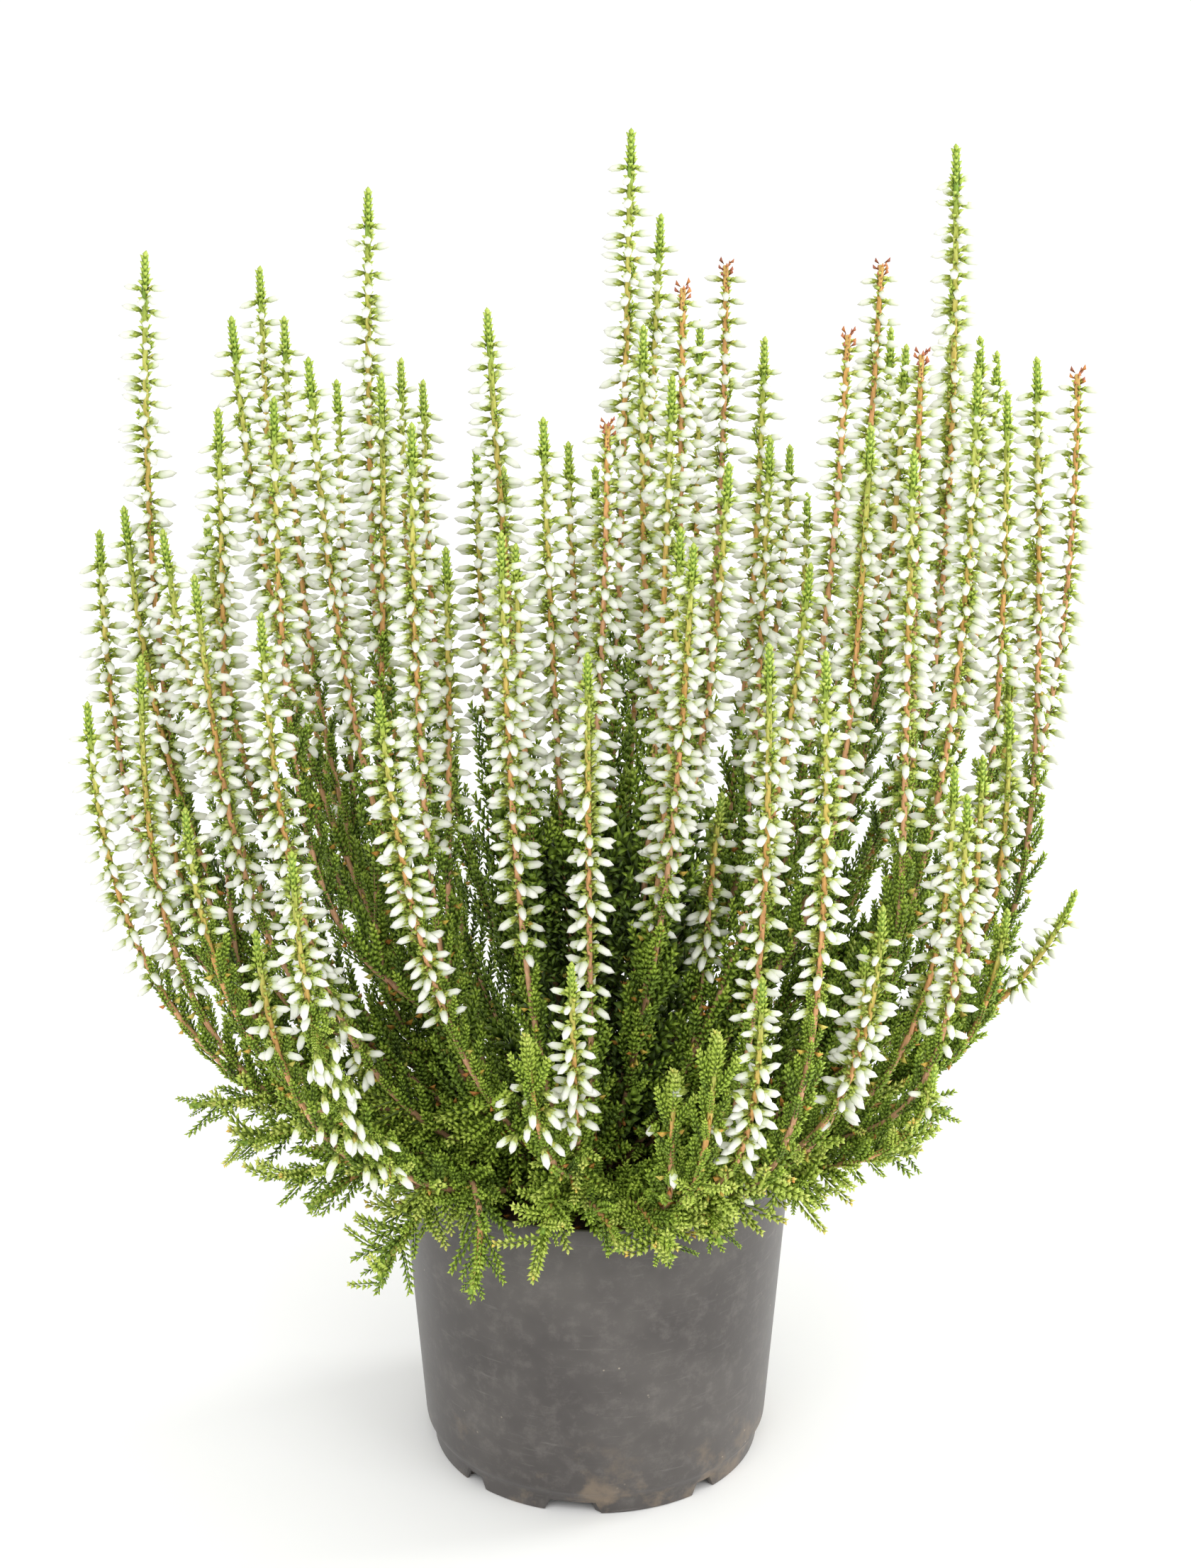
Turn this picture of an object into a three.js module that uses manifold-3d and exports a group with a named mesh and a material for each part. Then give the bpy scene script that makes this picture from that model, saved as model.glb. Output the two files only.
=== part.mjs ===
// Potted heather: a bushy plant with about ninety upright racemes of white buds, in a tapered nursery pot.
// Millimetres, +Z up. The origin is the centre of the pot's base, on the ground. -Y is the front.
import * as THREE from "three";
import { mergeVertices } from "three/addons/utils/BufferGeometryUtils.js";
import Module from "manifold-3d";

const wasm = await Module();
wasm.setup();

// ---- Driving dimensions -------------------------------------------------------------------------

// Pot: an 11 cm nursery pot.
const POT_HEIGHT = 95;
const RIM_RADIUS = 55;
const RIM_ROUND = 0.6;
const LIP_RADIUS = 54.4;
const LIP_Z = 90;
const FOOT_RADIUS = 46;
const CREASE_RADIUS = 48.2;
const CREASE_Z = 8;
const WALL = 1.3;
const FOOT_WIDTH = 2.6;
const FLOOR_UNDER = 4;
const FLOOR_TOP = 5.4;
const FLOOR_FILLET = 2.4;
const POT_SIDES = 32;
const NOTCH_HEIGHT = 3.4;
// Each notch in the foot skirt: the angle where it starts and ends, in degrees from the front.
const NOTCHES = [[-18, 0], [37, 45], [82, 98], [128, 136], [162, 180], [217, 225], [262, 278], [308, 316]];
const DRAIN_RADIUS = 3.2;
const DRAIN_RING = 34;
const DRAIN_COUNT = 6;

// Soil: the root ball, with a plain upright hole for each stem.
const CLEARANCE = 0.3;
const SOIL_TOP = 85;
const SOIL_CROWN = 1.5;
const SOIL_FLAT = 0.82;
const SOIL_SIDES = 24;
const HOLE_DEPTH = 10;
const HOLE_RADIUS = 1.9;

// Stems.
const STEM_SIDES = 3;
const STEM_RADIUS = 1.0;
const TIP_RADIUS = 0.55;
const BASE_SPREAD = 25;
const BASE_GAP = 4.3;
const STEM_GAP = 4;
const FORK_AT = 0.24;
const SPRAY_CREST = 108;
const OUTER_REACH = 75;
const RIM_PASS = 105;
const STEM_STEP = 110;
const BOW_RINGS = 1.6;

// Buds and leafy shoots.
const BUD_LENGTH = 7.4;
const BUD_RADIUS = 1.5;
const BUD_SPACING = 13;
const SPINDLE_LENGTH = 11;
const SPINDLE_RADIUS = 1.5;
const SHOOT_LENGTH = 13;
const SHOOT_RADIUS = 1.2;
const SHOOTS_PER_SPIKE = 2;
const SHOOT_ZONE = 0.78;
const POT_MARGIN = 5;
const NEEDLE_LENGTH = 4.5;
const NEEDLE_RADIUS = 0.6;
const ROOT_DEPTH = 0.3;

// Flowering stems. Each row is one stem, with one to three racemes:
// x, y, z of the raceme's tip, how far it bows out before it rises (0 to 1.3), and the length in flower.
const FLOWER_STEMS = [
  [[-129, -40, 240, 0.9, 80]],
  [[-115, -38, 252, 1.1, 85]],
  [[-121, -10, 282, 0.75, 80], [-130, 8, 269, 1.0, 80]],
  [[-109, -30, 283, 0.65, 70], [-100, -44, 276, 0.7, 80]],
  [[-102, 12, 272, 0.8, 60], [-114, -8, 221, 1.0, 40]],
  [[-113, -5, 348, 1.2, 95], [-95, -18, 311, 0.95, 60]],
  [[-93, 5, 328, 0.65, 85], [-90, 58, 326, 0.9, 85]],
  [[-82, 35, 319, 0.9, 75], [-69, 40, 300, 0.8, 70]],
  [[-71, -30, 328, 0.65, 85], [-79, -40, 321, 1.05, 60]],
  [[-57, 0, 363, 1.3, 100], [-54, -14, 319, 0.9, 50]],
  [[-54, 85, 292, 1.0, 75]],
  [[-45, -45, 316, 1.1, 85], [-38, -24, 276, 0.8, 60]],
  [[-83, -52, 269, 0.85, 85]],
  [[-104, -52, 216, 0.8, 60]],
  [[-74, -92, 222, 0.85, 60], [-85, -76, 193, 0.8, 40]],
  [[-53, -74, 257, 0.55, 80]],
  [[-32, 40, 281, 0.8, 60], [-47, 62, 293, 0.9, 70]],
  [[-27, -18, 337, 0.3, 90], [-20, -38, 282, 0.5, 60]],
  [[-23, -60, 293, 0.7, 85]],
  [[-13, -32, 313, 0.3, 80], [3, -36, 314, 0.5, 85]],
  [[9, 8, 376, 0.2, 100], [-7, 0, 296, 0.3, 50]],
  [[17, 34, 347, 0.2, 90], [35, 60, 327, 1.1, 85]],
  [[29, 88, 302, 1.0, 80], [54, 75, 270, 0.8, 70]],
  [[22, -6, 340, 1.0, 80], [12, -16, 332, 0.4, 70]],
  [[44, 20, 318, 0.8, 80], [44, -20, 304, 0.7, 70]],
  [[19, -32, 324, 0.5, 70], [33, -40, 304, 0.5, 70]],
  [[21, -48, 290, 0.5, 85], [24, -60, 290, 0.4, 80]],
  [[-2, -72, 266, 0.5, 85]],
  [[42, -78, 271, 1.15, 80]],
  [[55, -88, 273, 1.3, 75]],
  [[63, -20, 332, 0.75, 85], [68, -38, 313, 0.8, 80]],
  [[54, -36, 276, 0.5, 70], [33, -24, 208, 0.3, 40]],
  [[76, 50, 330, 0.8, 85], [80, 10, 319, 0.8, 60]],
  [[82, 88, 300, 1.0, 80], [96, 58, 324, 1.0, 85]],
  [[90, 0, 374, 1.25, 100], [82, -14, 325, 0.9, 80]],
  [[94, -36, 327, 1.0, 90], [78, -48, 310, 0.9, 80]],
  [[102, 40, 312, 1.1, 80], [105, -4, 311, 1.1, 70]],
  [[110, 72, 298, 1.05, 80]],
  [[127, 30, 306, 1.1, 95], [114, 12, 315, 1.25, 85]],
  [[108, -14, 229, 1.1, 40], [100, -30, 221, 1.0, 50]],
  [[91, -48, 226, 1.0, 60], [93, -62, 224, 1.0, 60]],
  [[131, 8, 165, 0.55, 20], [107, -40, 182, 0.7, 40]],
  [[88, -58, 146, 0.8, 15]],
  [[72, -72, 198, 0.9, 50], [69, -56, 179, 0.9, 40]],
  [[-6, -86, 189, 0.6, 45], [-17, -84, 168, 0.7, 45]],
  [[41, -96, 190, 0.9, 50]],
  [[30, -98, 176, 0.7, 20], [20, -88, 160, 0.6, 15]],
  [[-60, 92, 232, 1.0, 50], [-84, 80, 250, 1.0, 60], [-106, 50, 256, 1.0, 60]],
  [[-26, 92, 258, 1.0, 60], [0, 80, 262, 0.9, 50], [-4, 94, 206, 0.9, 40]],
  [[30, 92, 236, 1.0, 50], [60, 92, 250, 1.0, 60], [82, 62, 236, 0.9, 50]],
  [[96, 86, 244, 0.9, 60], [118, 48, 256, 0.95, 60], [112, 24, 226, 0.95, 50]],
];

// Low leafy sprays, which lean over the rim: x, y, z of each tip.
const LEAF_SPRAYS = [
  [[-96, -42, 114], [-110, -30, 119]],
  [[-84, -50, 108], [-78, -42, 94]],
  [[-58, -62, 83], [-33, -72, 85]],
  [[-14, -70, 102], [6, -74, 99]],
  [[20, -76, 98], [33, -70, 99]],
  [[89, -20, 99], [96, -30, 117], [80, -40, 108]],
  [[57, -55, 103], [60, -40, 102]],
];

const COLOURS = {
  pot: { color: 0x55504e, roughness: 0.5 },
  soil: { color: 0x3a2a1f, roughness: 0.95 },
  flower_stem: { color: 0x8fa85a, roughness: 0.6 },
  leaf_spray: { color: 0x6d8f35, roughness: 0.6 },
};

// ---- Small tools --------------------------------------------------------------------------------

const UP = new THREE.Vector3(0, 0, 1);

// A repeatable stream of numbers from 0 to 1.
function seededRandom(seed) {
  let state = seed;
  return () => {
    state = (Math.imul(state, 1664525) + 1013904223) >>> 0;
    return state / 4294967296;
  };
}

// A closed three.js geometry as a manifold-3d solid.
function solidOf(geometry) {
  const bare = geometry.clone();
  bare.deleteAttribute("normal");
  bare.deleteAttribute("uv");
  const merged = mergeVertices(bare, 1e-4);
  const index = merged.index.array;
  const kept = [];
  for (let i = 0; i < index.length; i += 3) {
    const [a, b, c] = [index[i], index[i + 1], index[i + 2]];
    if (a !== b && b !== c && c !== a) kept.push(a, b, c);
  }
  return new wasm.Manifold(
    new wasm.Mesh({
      numProp: 3,
      vertProperties: merged.attributes.position.array,
      triVerts: new Uint32Array(kept),
    }),
  );
}

// A manifold-3d solid as a named three.js mesh.
function meshOf(name, solid, look) {
  const made = solid.getMesh();
  const geometry = new THREE.BufferGeometry();
  geometry.setAttribute("position", new THREE.BufferAttribute(made.vertProperties, 3));
  geometry.setIndex(new THREE.BufferAttribute(made.triVerts, 1));
  const mesh = new THREE.Mesh(geometry, new THREE.MeshStandardMaterial(look));
  mesh.name = name;
  return mesh;
}

// A turned solid: its profile is a list of [radius, z], closed on itself or on the axis.
function turned(profile, sides) {
  const points = profile.map(([radius, z]) => new THREE.Vector2(radius, z));
  return new THREE.LatheGeometry(points, sides).rotateX(Math.PI / 2);
}

// A slim body of a few sides, pointed at both ends, from one point towards another.
function spindle(from, direction, length, radius, waist, roll) {
  const shape = new THREE.LatheGeometry(
    [new THREE.Vector2(0, 0), new THREE.Vector2(radius, waist * length), new THREE.Vector2(0, length)],
    3,
  );
  const turn = new THREE.Quaternion().setFromUnitVectors(new THREE.Vector3(0, 1, 0), direction);
  shape.rotateY(roll);
  shape.applyQuaternion(turn);
  shape.translate(from.x, from.y, from.z);
  return shape;
}

// A tapered tube through an axis: a list of rings, each with its centre, radius and spokes.
function taperedTube(axis) {
  const positions = axis.flatMap(({ centre, radius, spokes }) =>
    spokes.flatMap((spoke) => centre.clone().addScaledVector(spoke, radius).toArray()),
  );
  const index = [];
  for (let r = 0; r + 1 < axis.length; r++) {
    for (let k = 0; k < STEM_SIDES; k++) {
      const a = r * STEM_SIDES + k;
      const b = r * STEM_SIDES + ((k + 1) % STEM_SIDES);
      index.push(a, b, b + STEM_SIDES, a, b + STEM_SIDES, a + STEM_SIDES);
    }
  }
  const last = (axis.length - 1) * STEM_SIDES;
  for (let k = 1; k + 1 < STEM_SIDES; k++) {
    index.push(0, k + 1, k, last, last + k, last + k + 1);
  }
  const geometry = new THREE.BufferGeometry();
  geometry.setAttribute("position", new THREE.Float32BufferAttribute(positions, 3));
  geometry.setIndex(index);
  return geometry;
}

// ---- Where the stems run ------------------------------------------------------------------------

// A stem leaves the soil near the crown's middle: the flatter it leans, the further out it stands.
function baseOf([x, y, z]) {
  const rise = z - SOIL_TOP + BASE_SPREAD;
  const lean = Math.hypot(x, y) / rise;
  const share = BASE_SPREAD / rise / (1 + 0.35 * lean);
  return new THREE.Vector3(x * share, y * share, SOIL_TOP + 1);
}

function between(base, tip, across, upward) {
  return new THREE.Vector3(
    base.x + (tip.x - base.x) * across,
    base.y + (tip.y - base.y) * across,
    base.z + (tip.z - base.z) * upward,
  );
}

// The bend of a flowering stem: a cubic that runs straighter or bows out low and then rises. One that reaches far
// out passes over the rim first.
function flowerPath(spike) {
  const tip = new THREE.Vector3(spike[0], spike[1], spike[2]);
  const bow = spike[3];
  const base = baseOf(spike);
  const low = between(base, tip, 0.33 + 0.27 * bow, 0.33 - 0.25 * bow);
  const high = between(base, tip, 0.67 + 0.36 * bow, 0.67 - 0.43 * bow);
  if (Math.hypot(tip.x, tip.y) > OUTER_REACH) {
    low.z = Math.max(low.z, RIM_PASS);
    high.z = Math.max(high.z, RIM_PASS);
  }
  return { base, low, high, tip };
}

// A spray climbs over the rim and droops to its tip.
function sprayPath(spike) {
  const tip = new THREE.Vector3(spike[0], spike[1], spike[2]);
  const base = baseOf(spike);
  const reach = Math.hypot(tip.x, tip.y);
  const outward = (radius, z) => new THREE.Vector3((tip.x / reach) * radius, (tip.y / reach) * radius, z);
  const low = outward(RIM_RADIUS - 8, SPRAY_CREST);
  const high = outward(RIM_RADIUS + 7, Math.max(tip.z, SPRAY_CREST));
  return { base, low, high, tip };
}

const branches = [
  ...FLOWER_STEMS.map((spikes, i) => ({
    name: "flower_stem_" + String(i + 1).padStart(2, "0"),
    kind: "flower_stem",
    spikes: spikes.map((spike) => ({ path: flowerPath(spike), bow: spike[3], bloom: spike[4] })),
  })),
  ...LEAF_SPRAYS.map((spikes, i) => ({
    name: "leaf_spray_" + String(i + 1).padStart(2, "0"),
    kind: "leaf_spray",
    spikes: spikes.map((spike) => ({ path: sprayPath(spike), bow: 1, bloom: 0 })),
  })),
];

function pathPoint(path, t) {
  const s = 1 - t;
  return new THREE.Vector3()
    .addScaledVector(path.base, s * s * s)
    .addScaledVector(path.low, 3 * s * s * t)
    .addScaledVector(path.high, 3 * s * t * t)
    .addScaledVector(path.tip, t * t * t);
}

// The bases are moved apart until no two holes meet.
function spreadBases() {
  const bases = branches.map((branch) => branch.spikes[0].path.base);
  for (let round = 0; round < 200; round++) {
    bases.forEach((a, i) =>
      bases.slice(i + 1).forEach((b) => {
        const gap = Math.hypot(a.x - b.x, a.y - b.y);
        if (gap >= BASE_GAP) return;
        const push = (BASE_GAP - gap) / 2 / Math.max(gap, 0.01);
        const [dx, dy] = [(a.x - b.x) * push, (a.y - b.y) * push];
        a.set(a.x + dx, a.y + dy, a.z);
        b.set(b.x - dx, b.y - dy, b.z);
      }),
    );
  }
}

// A side raceme leaves its stem along the stem's own direction.
function joinForks() {
  for (const { spikes } of branches) {
    const main = spikes[0].path;
    spikes.slice(1).forEach(({ path }, i) => {
      const at = FORK_AT + 0.1 * i;
      path.base.copy(pathPoint(main, at));
      const ahead = pathPoint(main, at + 0.02).sub(path.base).normalize();
      path.low.copy(path.base).addScaledVector(ahead, 0.3 * path.tip.distanceTo(path.base));
    });
  }
}

// Stems that pass too near each other bend clear.
function bendClear() {
  const steps = 16;
  const runs = branches.flatMap((branch) => branch.spikes.map((spike) => ({ branch, path: spike.path })));
  let worst = 0;
  for (let round = 0; round < 150; round++) {
    worst = Infinity;
    const sampled = runs.map(({ path }) =>
      Array.from({ length: steps }, (_, k) => pathPoint(path, (k + 1) / steps)),
    );
    for (let i = 0; i < runs.length; i++) {
      for (let j = i + 1; j < runs.length; j++) {
        if (runs[i].branch === runs[j].branch) continue;
        let near = { gap: STEM_GAP };
        for (let a = 0; a < steps; a++) {
          for (let b = 0; b < steps; b++) {
            const gap = sampled[i][a].distanceTo(sampled[j][b]);
            if (gap < near.gap) near = { gap, a, b };
          }
        }
        worst = Math.min(worst, near.gap);
        if (near.gap >= STEM_GAP) continue;
        const apart = sampled[i][near.a].clone().sub(sampled[j][near.b]).normalize();
        const push = (STEM_GAP - near.gap) * 0.5 + 0.05;
        for (const [run, k, way] of [[runs[i], near.a, 1], [runs[j], near.b, -1]]) {
          const t = (k + 1) / steps;
          run.path.low.addScaledVector(apart, way * push * (1 - t) * 1.6);
          run.path.high.addScaledVector(apart, way * push * Math.min(1, 1.6 * t));
        }
      }
    }
    joinForks();
    if (worst >= STEM_GAP) break;
  }
}

spreadBases();
joinForks();
bendClear();

// ---- Pot ----------------------------------------------------------------------------------------

// The outer radius of the tapered wall, between the crease above the foot and the lip.
function wallRadiusAt(z) {
  return CREASE_RADIUS + ((LIP_RADIUS - CREASE_RADIUS) * (z - CREASE_Z)) / (LIP_Z - CREASE_Z);
}

function buildPot() {
  let pot = solidOf(
    turned(
      [
        [0, FLOOR_UNDER],
        [FOOT_RADIUS - FOOT_WIDTH - 1, FLOOR_UNDER],
        [FOOT_RADIUS - FOOT_WIDTH, 0],
        [FOOT_RADIUS, 0],
        [FOOT_RADIUS + 0.4, CREASE_Z - 2.5],
        [CREASE_RADIUS, CREASE_Z],
        [LIP_RADIUS, LIP_Z],
        [RIM_RADIUS, LIP_Z + 1],
        [RIM_RADIUS, POT_HEIGHT - RIM_ROUND],
        [RIM_RADIUS - RIM_ROUND, POT_HEIGHT],
        [RIM_RADIUS - WALL, POT_HEIGHT],
        [LIP_RADIUS - WALL, LIP_Z],
        [wallRadiusAt(FLOOR_TOP + FLOOR_FILLET) - WALL, FLOOR_TOP + FLOOR_FILLET],
        [wallRadiusAt(FLOOR_TOP) - WALL - FLOOR_FILLET / 2, FLOOR_TOP],
        [0, FLOOR_TOP],
      ],
      POT_SIDES,
    ),
  );
  for (const [start, end] of NOTCHES) {
    const width = THREE.MathUtils.degToRad(end - start);
    const middle = THREE.MathUtils.degToRad((start + end) / 2);
    const cutter = new THREE.BoxGeometry(2 * FOOT_RADIUS * Math.sin(width / 2), 12, 2 * NOTCH_HEIGHT);
    cutter.translate(0, -FOOT_RADIUS + 1, 0);
    cutter.rotateZ(middle);
    pot = pot.subtract(solidOf(cutter));
  }
  for (let k = 0; k <= DRAIN_COUNT; k++) {
    const hole = new THREE.CylinderGeometry(DRAIN_RADIUS, DRAIN_RADIUS, 10, 8).rotateX(Math.PI / 2);
    hole.translate(k < DRAIN_COUNT ? DRAIN_RING : 0, 0, FLOOR_UNDER);
    hole.rotateZ((2 * Math.PI * k) / DRAIN_COUNT);
    pot = pot.subtract(solidOf(hole));
  }
  return pot;
}

// ---- Soil ---------------------------------------------------------------------------------------

function buildSoil() {
  const innerAt = (z) => (wallRadiusAt(z) - WALL) * Math.cos(Math.PI / POT_SIDES);
  const edgeZ = SOIL_TOP - SOIL_CROWN;
  let soil = solidOf(
    turned(
      [
        [0, FLOOR_TOP + CLEARANCE],
        [innerAt(FLOOR_TOP) - FLOOR_FILLET, FLOOR_TOP + CLEARANCE],
        [innerAt(FLOOR_TOP + FLOOR_FILLET) - 3 * CLEARANCE, FLOOR_TOP + FLOOR_FILLET + 1],
        [innerAt(edgeZ) - CLEARANCE, edgeZ],
        [innerAt(SOIL_TOP) * SOIL_FLAT, SOIL_TOP],
        [0, SOIL_TOP],
      ],
      SOIL_SIDES,
    ),
  );
  const holes = branches.map(({ spikes }) => {
    const { x, y } = spikes[0].path.base;
    const hole = new THREE.CylinderGeometry(HOLE_RADIUS, HOLE_RADIUS, 2 * HOLE_DEPTH, 4).rotateX(Math.PI / 2);
    return solidOf(hole.translate(x, y, SOIL_TOP));
  });
  return soil.subtract(wasm.Manifold.union(holes));
}

// ---- Stems, buds and leaves ---------------------------------------------------------------------

// The space taken so far, as round-ended rods, so that nothing new is grown into another stem.
const taken = [];

// The shortest distance between two segments.
function segmentGap(p1, q1, p2, q2) {
  const d1 = q1.clone().sub(p1);
  const d2 = q2.clone().sub(p2);
  const r = p1.clone().sub(p2);
  const [a, e, f] = [d1.dot(d1), d2.dot(d2), d2.dot(r)];
  const [b, c] = [d1.dot(d2), d1.dot(r)];
  const clamp = (v) => Math.min(1, Math.max(0, v));
  const denominator = a * e - b * b;
  let s = denominator > 1e-9 ? clamp((b * f - c * e) / denominator) : 0;
  const t = clamp((b * s + f) / e);
  s = clamp((b * t - c) / a);
  return p1.clone().addScaledVector(d1, s).distanceTo(p2.clone().addScaledVector(d2, t));
}

function isClear(from, to, radius, owner) {
  const reach = from.distanceTo(to);
  return taken.every((rod) => {
    if (rod.owner === owner) return true;
    const need = radius + rod.radius + CLEARANCE + 0.1;
    const far = rod.a.distanceTo(from) - rod.a.distanceTo(rod.b) - reach;
    return far > need || segmentGap(from, to, rod.a, rod.b) > need;
  });
}

// Whether a ball there clears the rim and the soil: it is above them, inside the rim or well outside it.
function clearsPot(point, radius) {
  const low = point.z - radius;
  const out = Math.hypot(point.x, point.y);
  const above = low > POT_HEIGHT + 2 * CLEARANCE;
  const inside = low > SOIL_TOP + 4 * CLEARANCE && out < RIM_RADIUS - POT_MARGIN;
  return above || inside || out - radius > RIM_RADIUS + POT_MARGIN / 2;
}

// The place on an axis that lies a distance below its tip, with the two rings that it lies between.
function placeBelow(axis, below) {
  let left = below;
  for (let r = axis.length - 1; r > 0; r--) {
    const [upper, lower] = [axis[r], axis[r - 1]];
    const step = upper.centre.distanceTo(lower.centre);
    if (left <= step || r === 1) {
      const share = Math.min(1, left / step);
      const tangent = upper.centre.clone().sub(lower.centre).normalize();
      return { centre: upper.centre.clone().lerp(lower.centre, share), tangent, upper, lower, share };
    }
    left -= step;
  }
  return null;
}

// Tries the flat sides of the stem in turn, and grows one more piece out of the first with room for it.
function growPiece(branch, axis, below, tilt, size, random, rank) {
  const { centre, tangent, upper, lower, share } = placeBelow(axis, below);
  const corners = upper.spokes.map((spoke, k) => spoke.clone().lerp(lower.spokes[k], share));
  for (let attempt = 0; attempt < LIFTS.length * STEM_SIDES; attempt++) {
    const lift = tilt + LIFTS[Math.floor(attempt / STEM_SIDES)];
    const side = (rank + attempt) % STEM_SIDES;
    const direction = corners[side].clone().add(corners[(side + 1) % STEM_SIDES]).normalize()
      .multiplyScalar(Math.cos(lift))
      .addScaledVector(tangent, Math.sin(lift))
      .normalize();
    const to = centre.clone().addScaledVector(direction, size.length);
    if (!isClear(centre, to, size.radius, branch.name)) continue;
    if (!clearsPot(to, size.radius) || !clearsPot(centre.clone().lerp(to, 0.5), size.radius)) continue;
    taken.push({ a: centre, b: to, radius: size.radius, owner: branch.name });
    const root = centre.clone().addScaledVector(direction, -ROOT_DEPTH);
    return spindle(root, direction, size.length + ROOT_DEPTH, size.radius, size.waist, random() * 2);
  }
  return null;
}

const LIFTS = [0, 0.35, 0.7, 0.95];
const BUD = { length: BUD_LENGTH, radius: BUD_RADIUS, waist: 0.58 };
const SHOOT = { length: SHOOT_LENGTH, radius: SHOOT_RADIUS, waist: 0.42 };
const NEEDLE = { length: NEEDLE_LENGTH, radius: NEEDLE_RADIUS, waist: 0.4 };

// The axis of a raceme. The first of a branch starts upright in its soil hole. Rings follow the bend, closest
// near the base, and the tip swells into a spindle of dense small leaves.
function axisOf({ path, bloom, bow }, isMain, roll) {
  const bend = new THREE.CubicBezierCurve3(path.base, path.low, path.high, path.tip);
  const normal = path.tip.clone().sub(path.base).cross(UP).normalize();
  const length = bend.getLength();
  const spindleLength = Math.min(SPINDLE_LENGTH, 0.2 * length);
  const startRadius = isMain ? STEM_RADIUS : STEM_RADIUS * 0.75;
  const stalk = 1 - spindleLength / length;
  const steps = Math.round((length - spindleLength) / STEM_STEP + 1 + BOW_RINGS * bow * bow);
  const axis = [];
  const addRing = (centre, tangent, radius) => {
    const side = normal.clone().addScaledVector(tangent, -normal.dot(tangent)).normalize();
    const spokes = Array.from({ length: STEM_SIDES }, (_, k) =>
      side.clone().applyAxisAngle(tangent, roll + (2 * Math.PI * k) / STEM_SIDES),
    );
    axis.push({ centre, radius, spokes });
  };
  if (isMain) addRing(path.base.clone().setZ(SOIL_TOP - HOLE_DEPTH + CLEARANCE), UP, startRadius);
  for (let k = 0; k <= steps; k++) {
    const share = stalk * Math.pow(k / steps, 1.2);
    const tangent = k === 0 && isMain ? UP : bend.getTangentAt(share);
    addRing(bend.getPointAt(share), tangent, startRadius + (TIP_RADIUS - startRadius) * (k / steps));
  }
  const fat = 1 - (0.55 * spindleLength) / length;
  addRing(bend.getPointAt(fat), bend.getTangentAt(fat), SPINDLE_RADIUS * (bloom ? 1 : 0.8));
  addRing(path.tip.clone(), bend.getTangentAt(1), 0.3);
  return axis;
}

function growBranch(branch, seed) {
  const random = seededRandom(seed);
  const pieces = [];
  branch.spikes.forEach(({ axis, bloom }) => {
    const length = axis.slice(1).reduce((sum, ring, r) => sum + ring.centre.distanceTo(axis[r].centre), 0);
    pieces.push(taperedTube(axis));
    let rank = Math.floor(random() * STEM_SIDES);
    const grow = (below, tilt, size) => {
      pieces.push(growPiece(branch, axis, below, tilt, size, random, rank));
      rank += 1;
    };
    const budCount = Math.floor(bloom / BUD_SPACING);
    for (let k = 0; k < budCount; k++) grow(SPINDLE_LENGTH + 1 + k * BUD_SPACING, 0.1 - 0.25 * random(), BUD);
    if (branch.kind === "leaf_spray") {
      for (let k = 0; k < 3; k++) grow(9 + 8 * k, 0.6, SHOOT);
      for (let k = 0; k < 2; k++) grow(5 + 8 * k, 0.3, NEEDLE);
      return;
    }
    const shootStart = bloom + SPINDLE_LENGTH + 6;
    const room = length * SHOOT_ZONE - shootStart;
    for (let k = 0; k < SHOOTS_PER_SPIKE; k++) {
      const below = shootStart + (room * k) / SHOOTS_PER_SPIKE;
      if (below < length * SHOOT_ZONE) grow(below, 0.6, SHOOT);
    }
  });
  const grown = wasm.Manifold.union(pieces.filter(Boolean).map(solidOf)).decompose();
  return grown.reduce((largest, body) => (body.volume() > largest.volume() ? body : largest));
}

branches.forEach((branch) => {
  branch.spikes.forEach((spike, i) => {
    spike.axis = axisOf(spike, i === 0, 1.9 * taken.length);
    for (let r = 1; r < spike.axis.length; r++) {
      const [lower, upper] = [spike.axis[r - 1], spike.axis[r]];
      const radius = Math.max(lower.radius, upper.radius);
      taken.push({ a: lower.centre, b: upper.centre, radius, owner: branch.name });
    }
  });
});

// ---- Assembly -----------------------------------------------------------------------------------

const group = new THREE.Group();
group.add(meshOf("pot", buildPot(), COLOURS.pot));
group.add(meshOf("soil", buildSoil(), COLOURS.soil));
branches.forEach((branch, i) => {
  group.add(meshOf(branch.name, growBranch(branch, 11 + 7 * i), COLOURS[branch.kind]));
});

export default group;
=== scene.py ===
# %% [markdown]
# # A potted heather
# A bushy heather stands in a dark nursery pot. About ninety upright racemes carry thousands of white
# buds, and below them short leafy shoots close over each other down to the rim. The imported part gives
# every stem, the pot and the soil at their real size. This lesson dresses that frame: each stem gets
# bark, leaves and buds of its own, and the pot and the peat get a fine surface. Plants are made of a few
# shapes that repeat, so the plan is to model one bud, one leaf and a few shoots, and then to place them
# by the rules that the real plant grows by.

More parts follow.
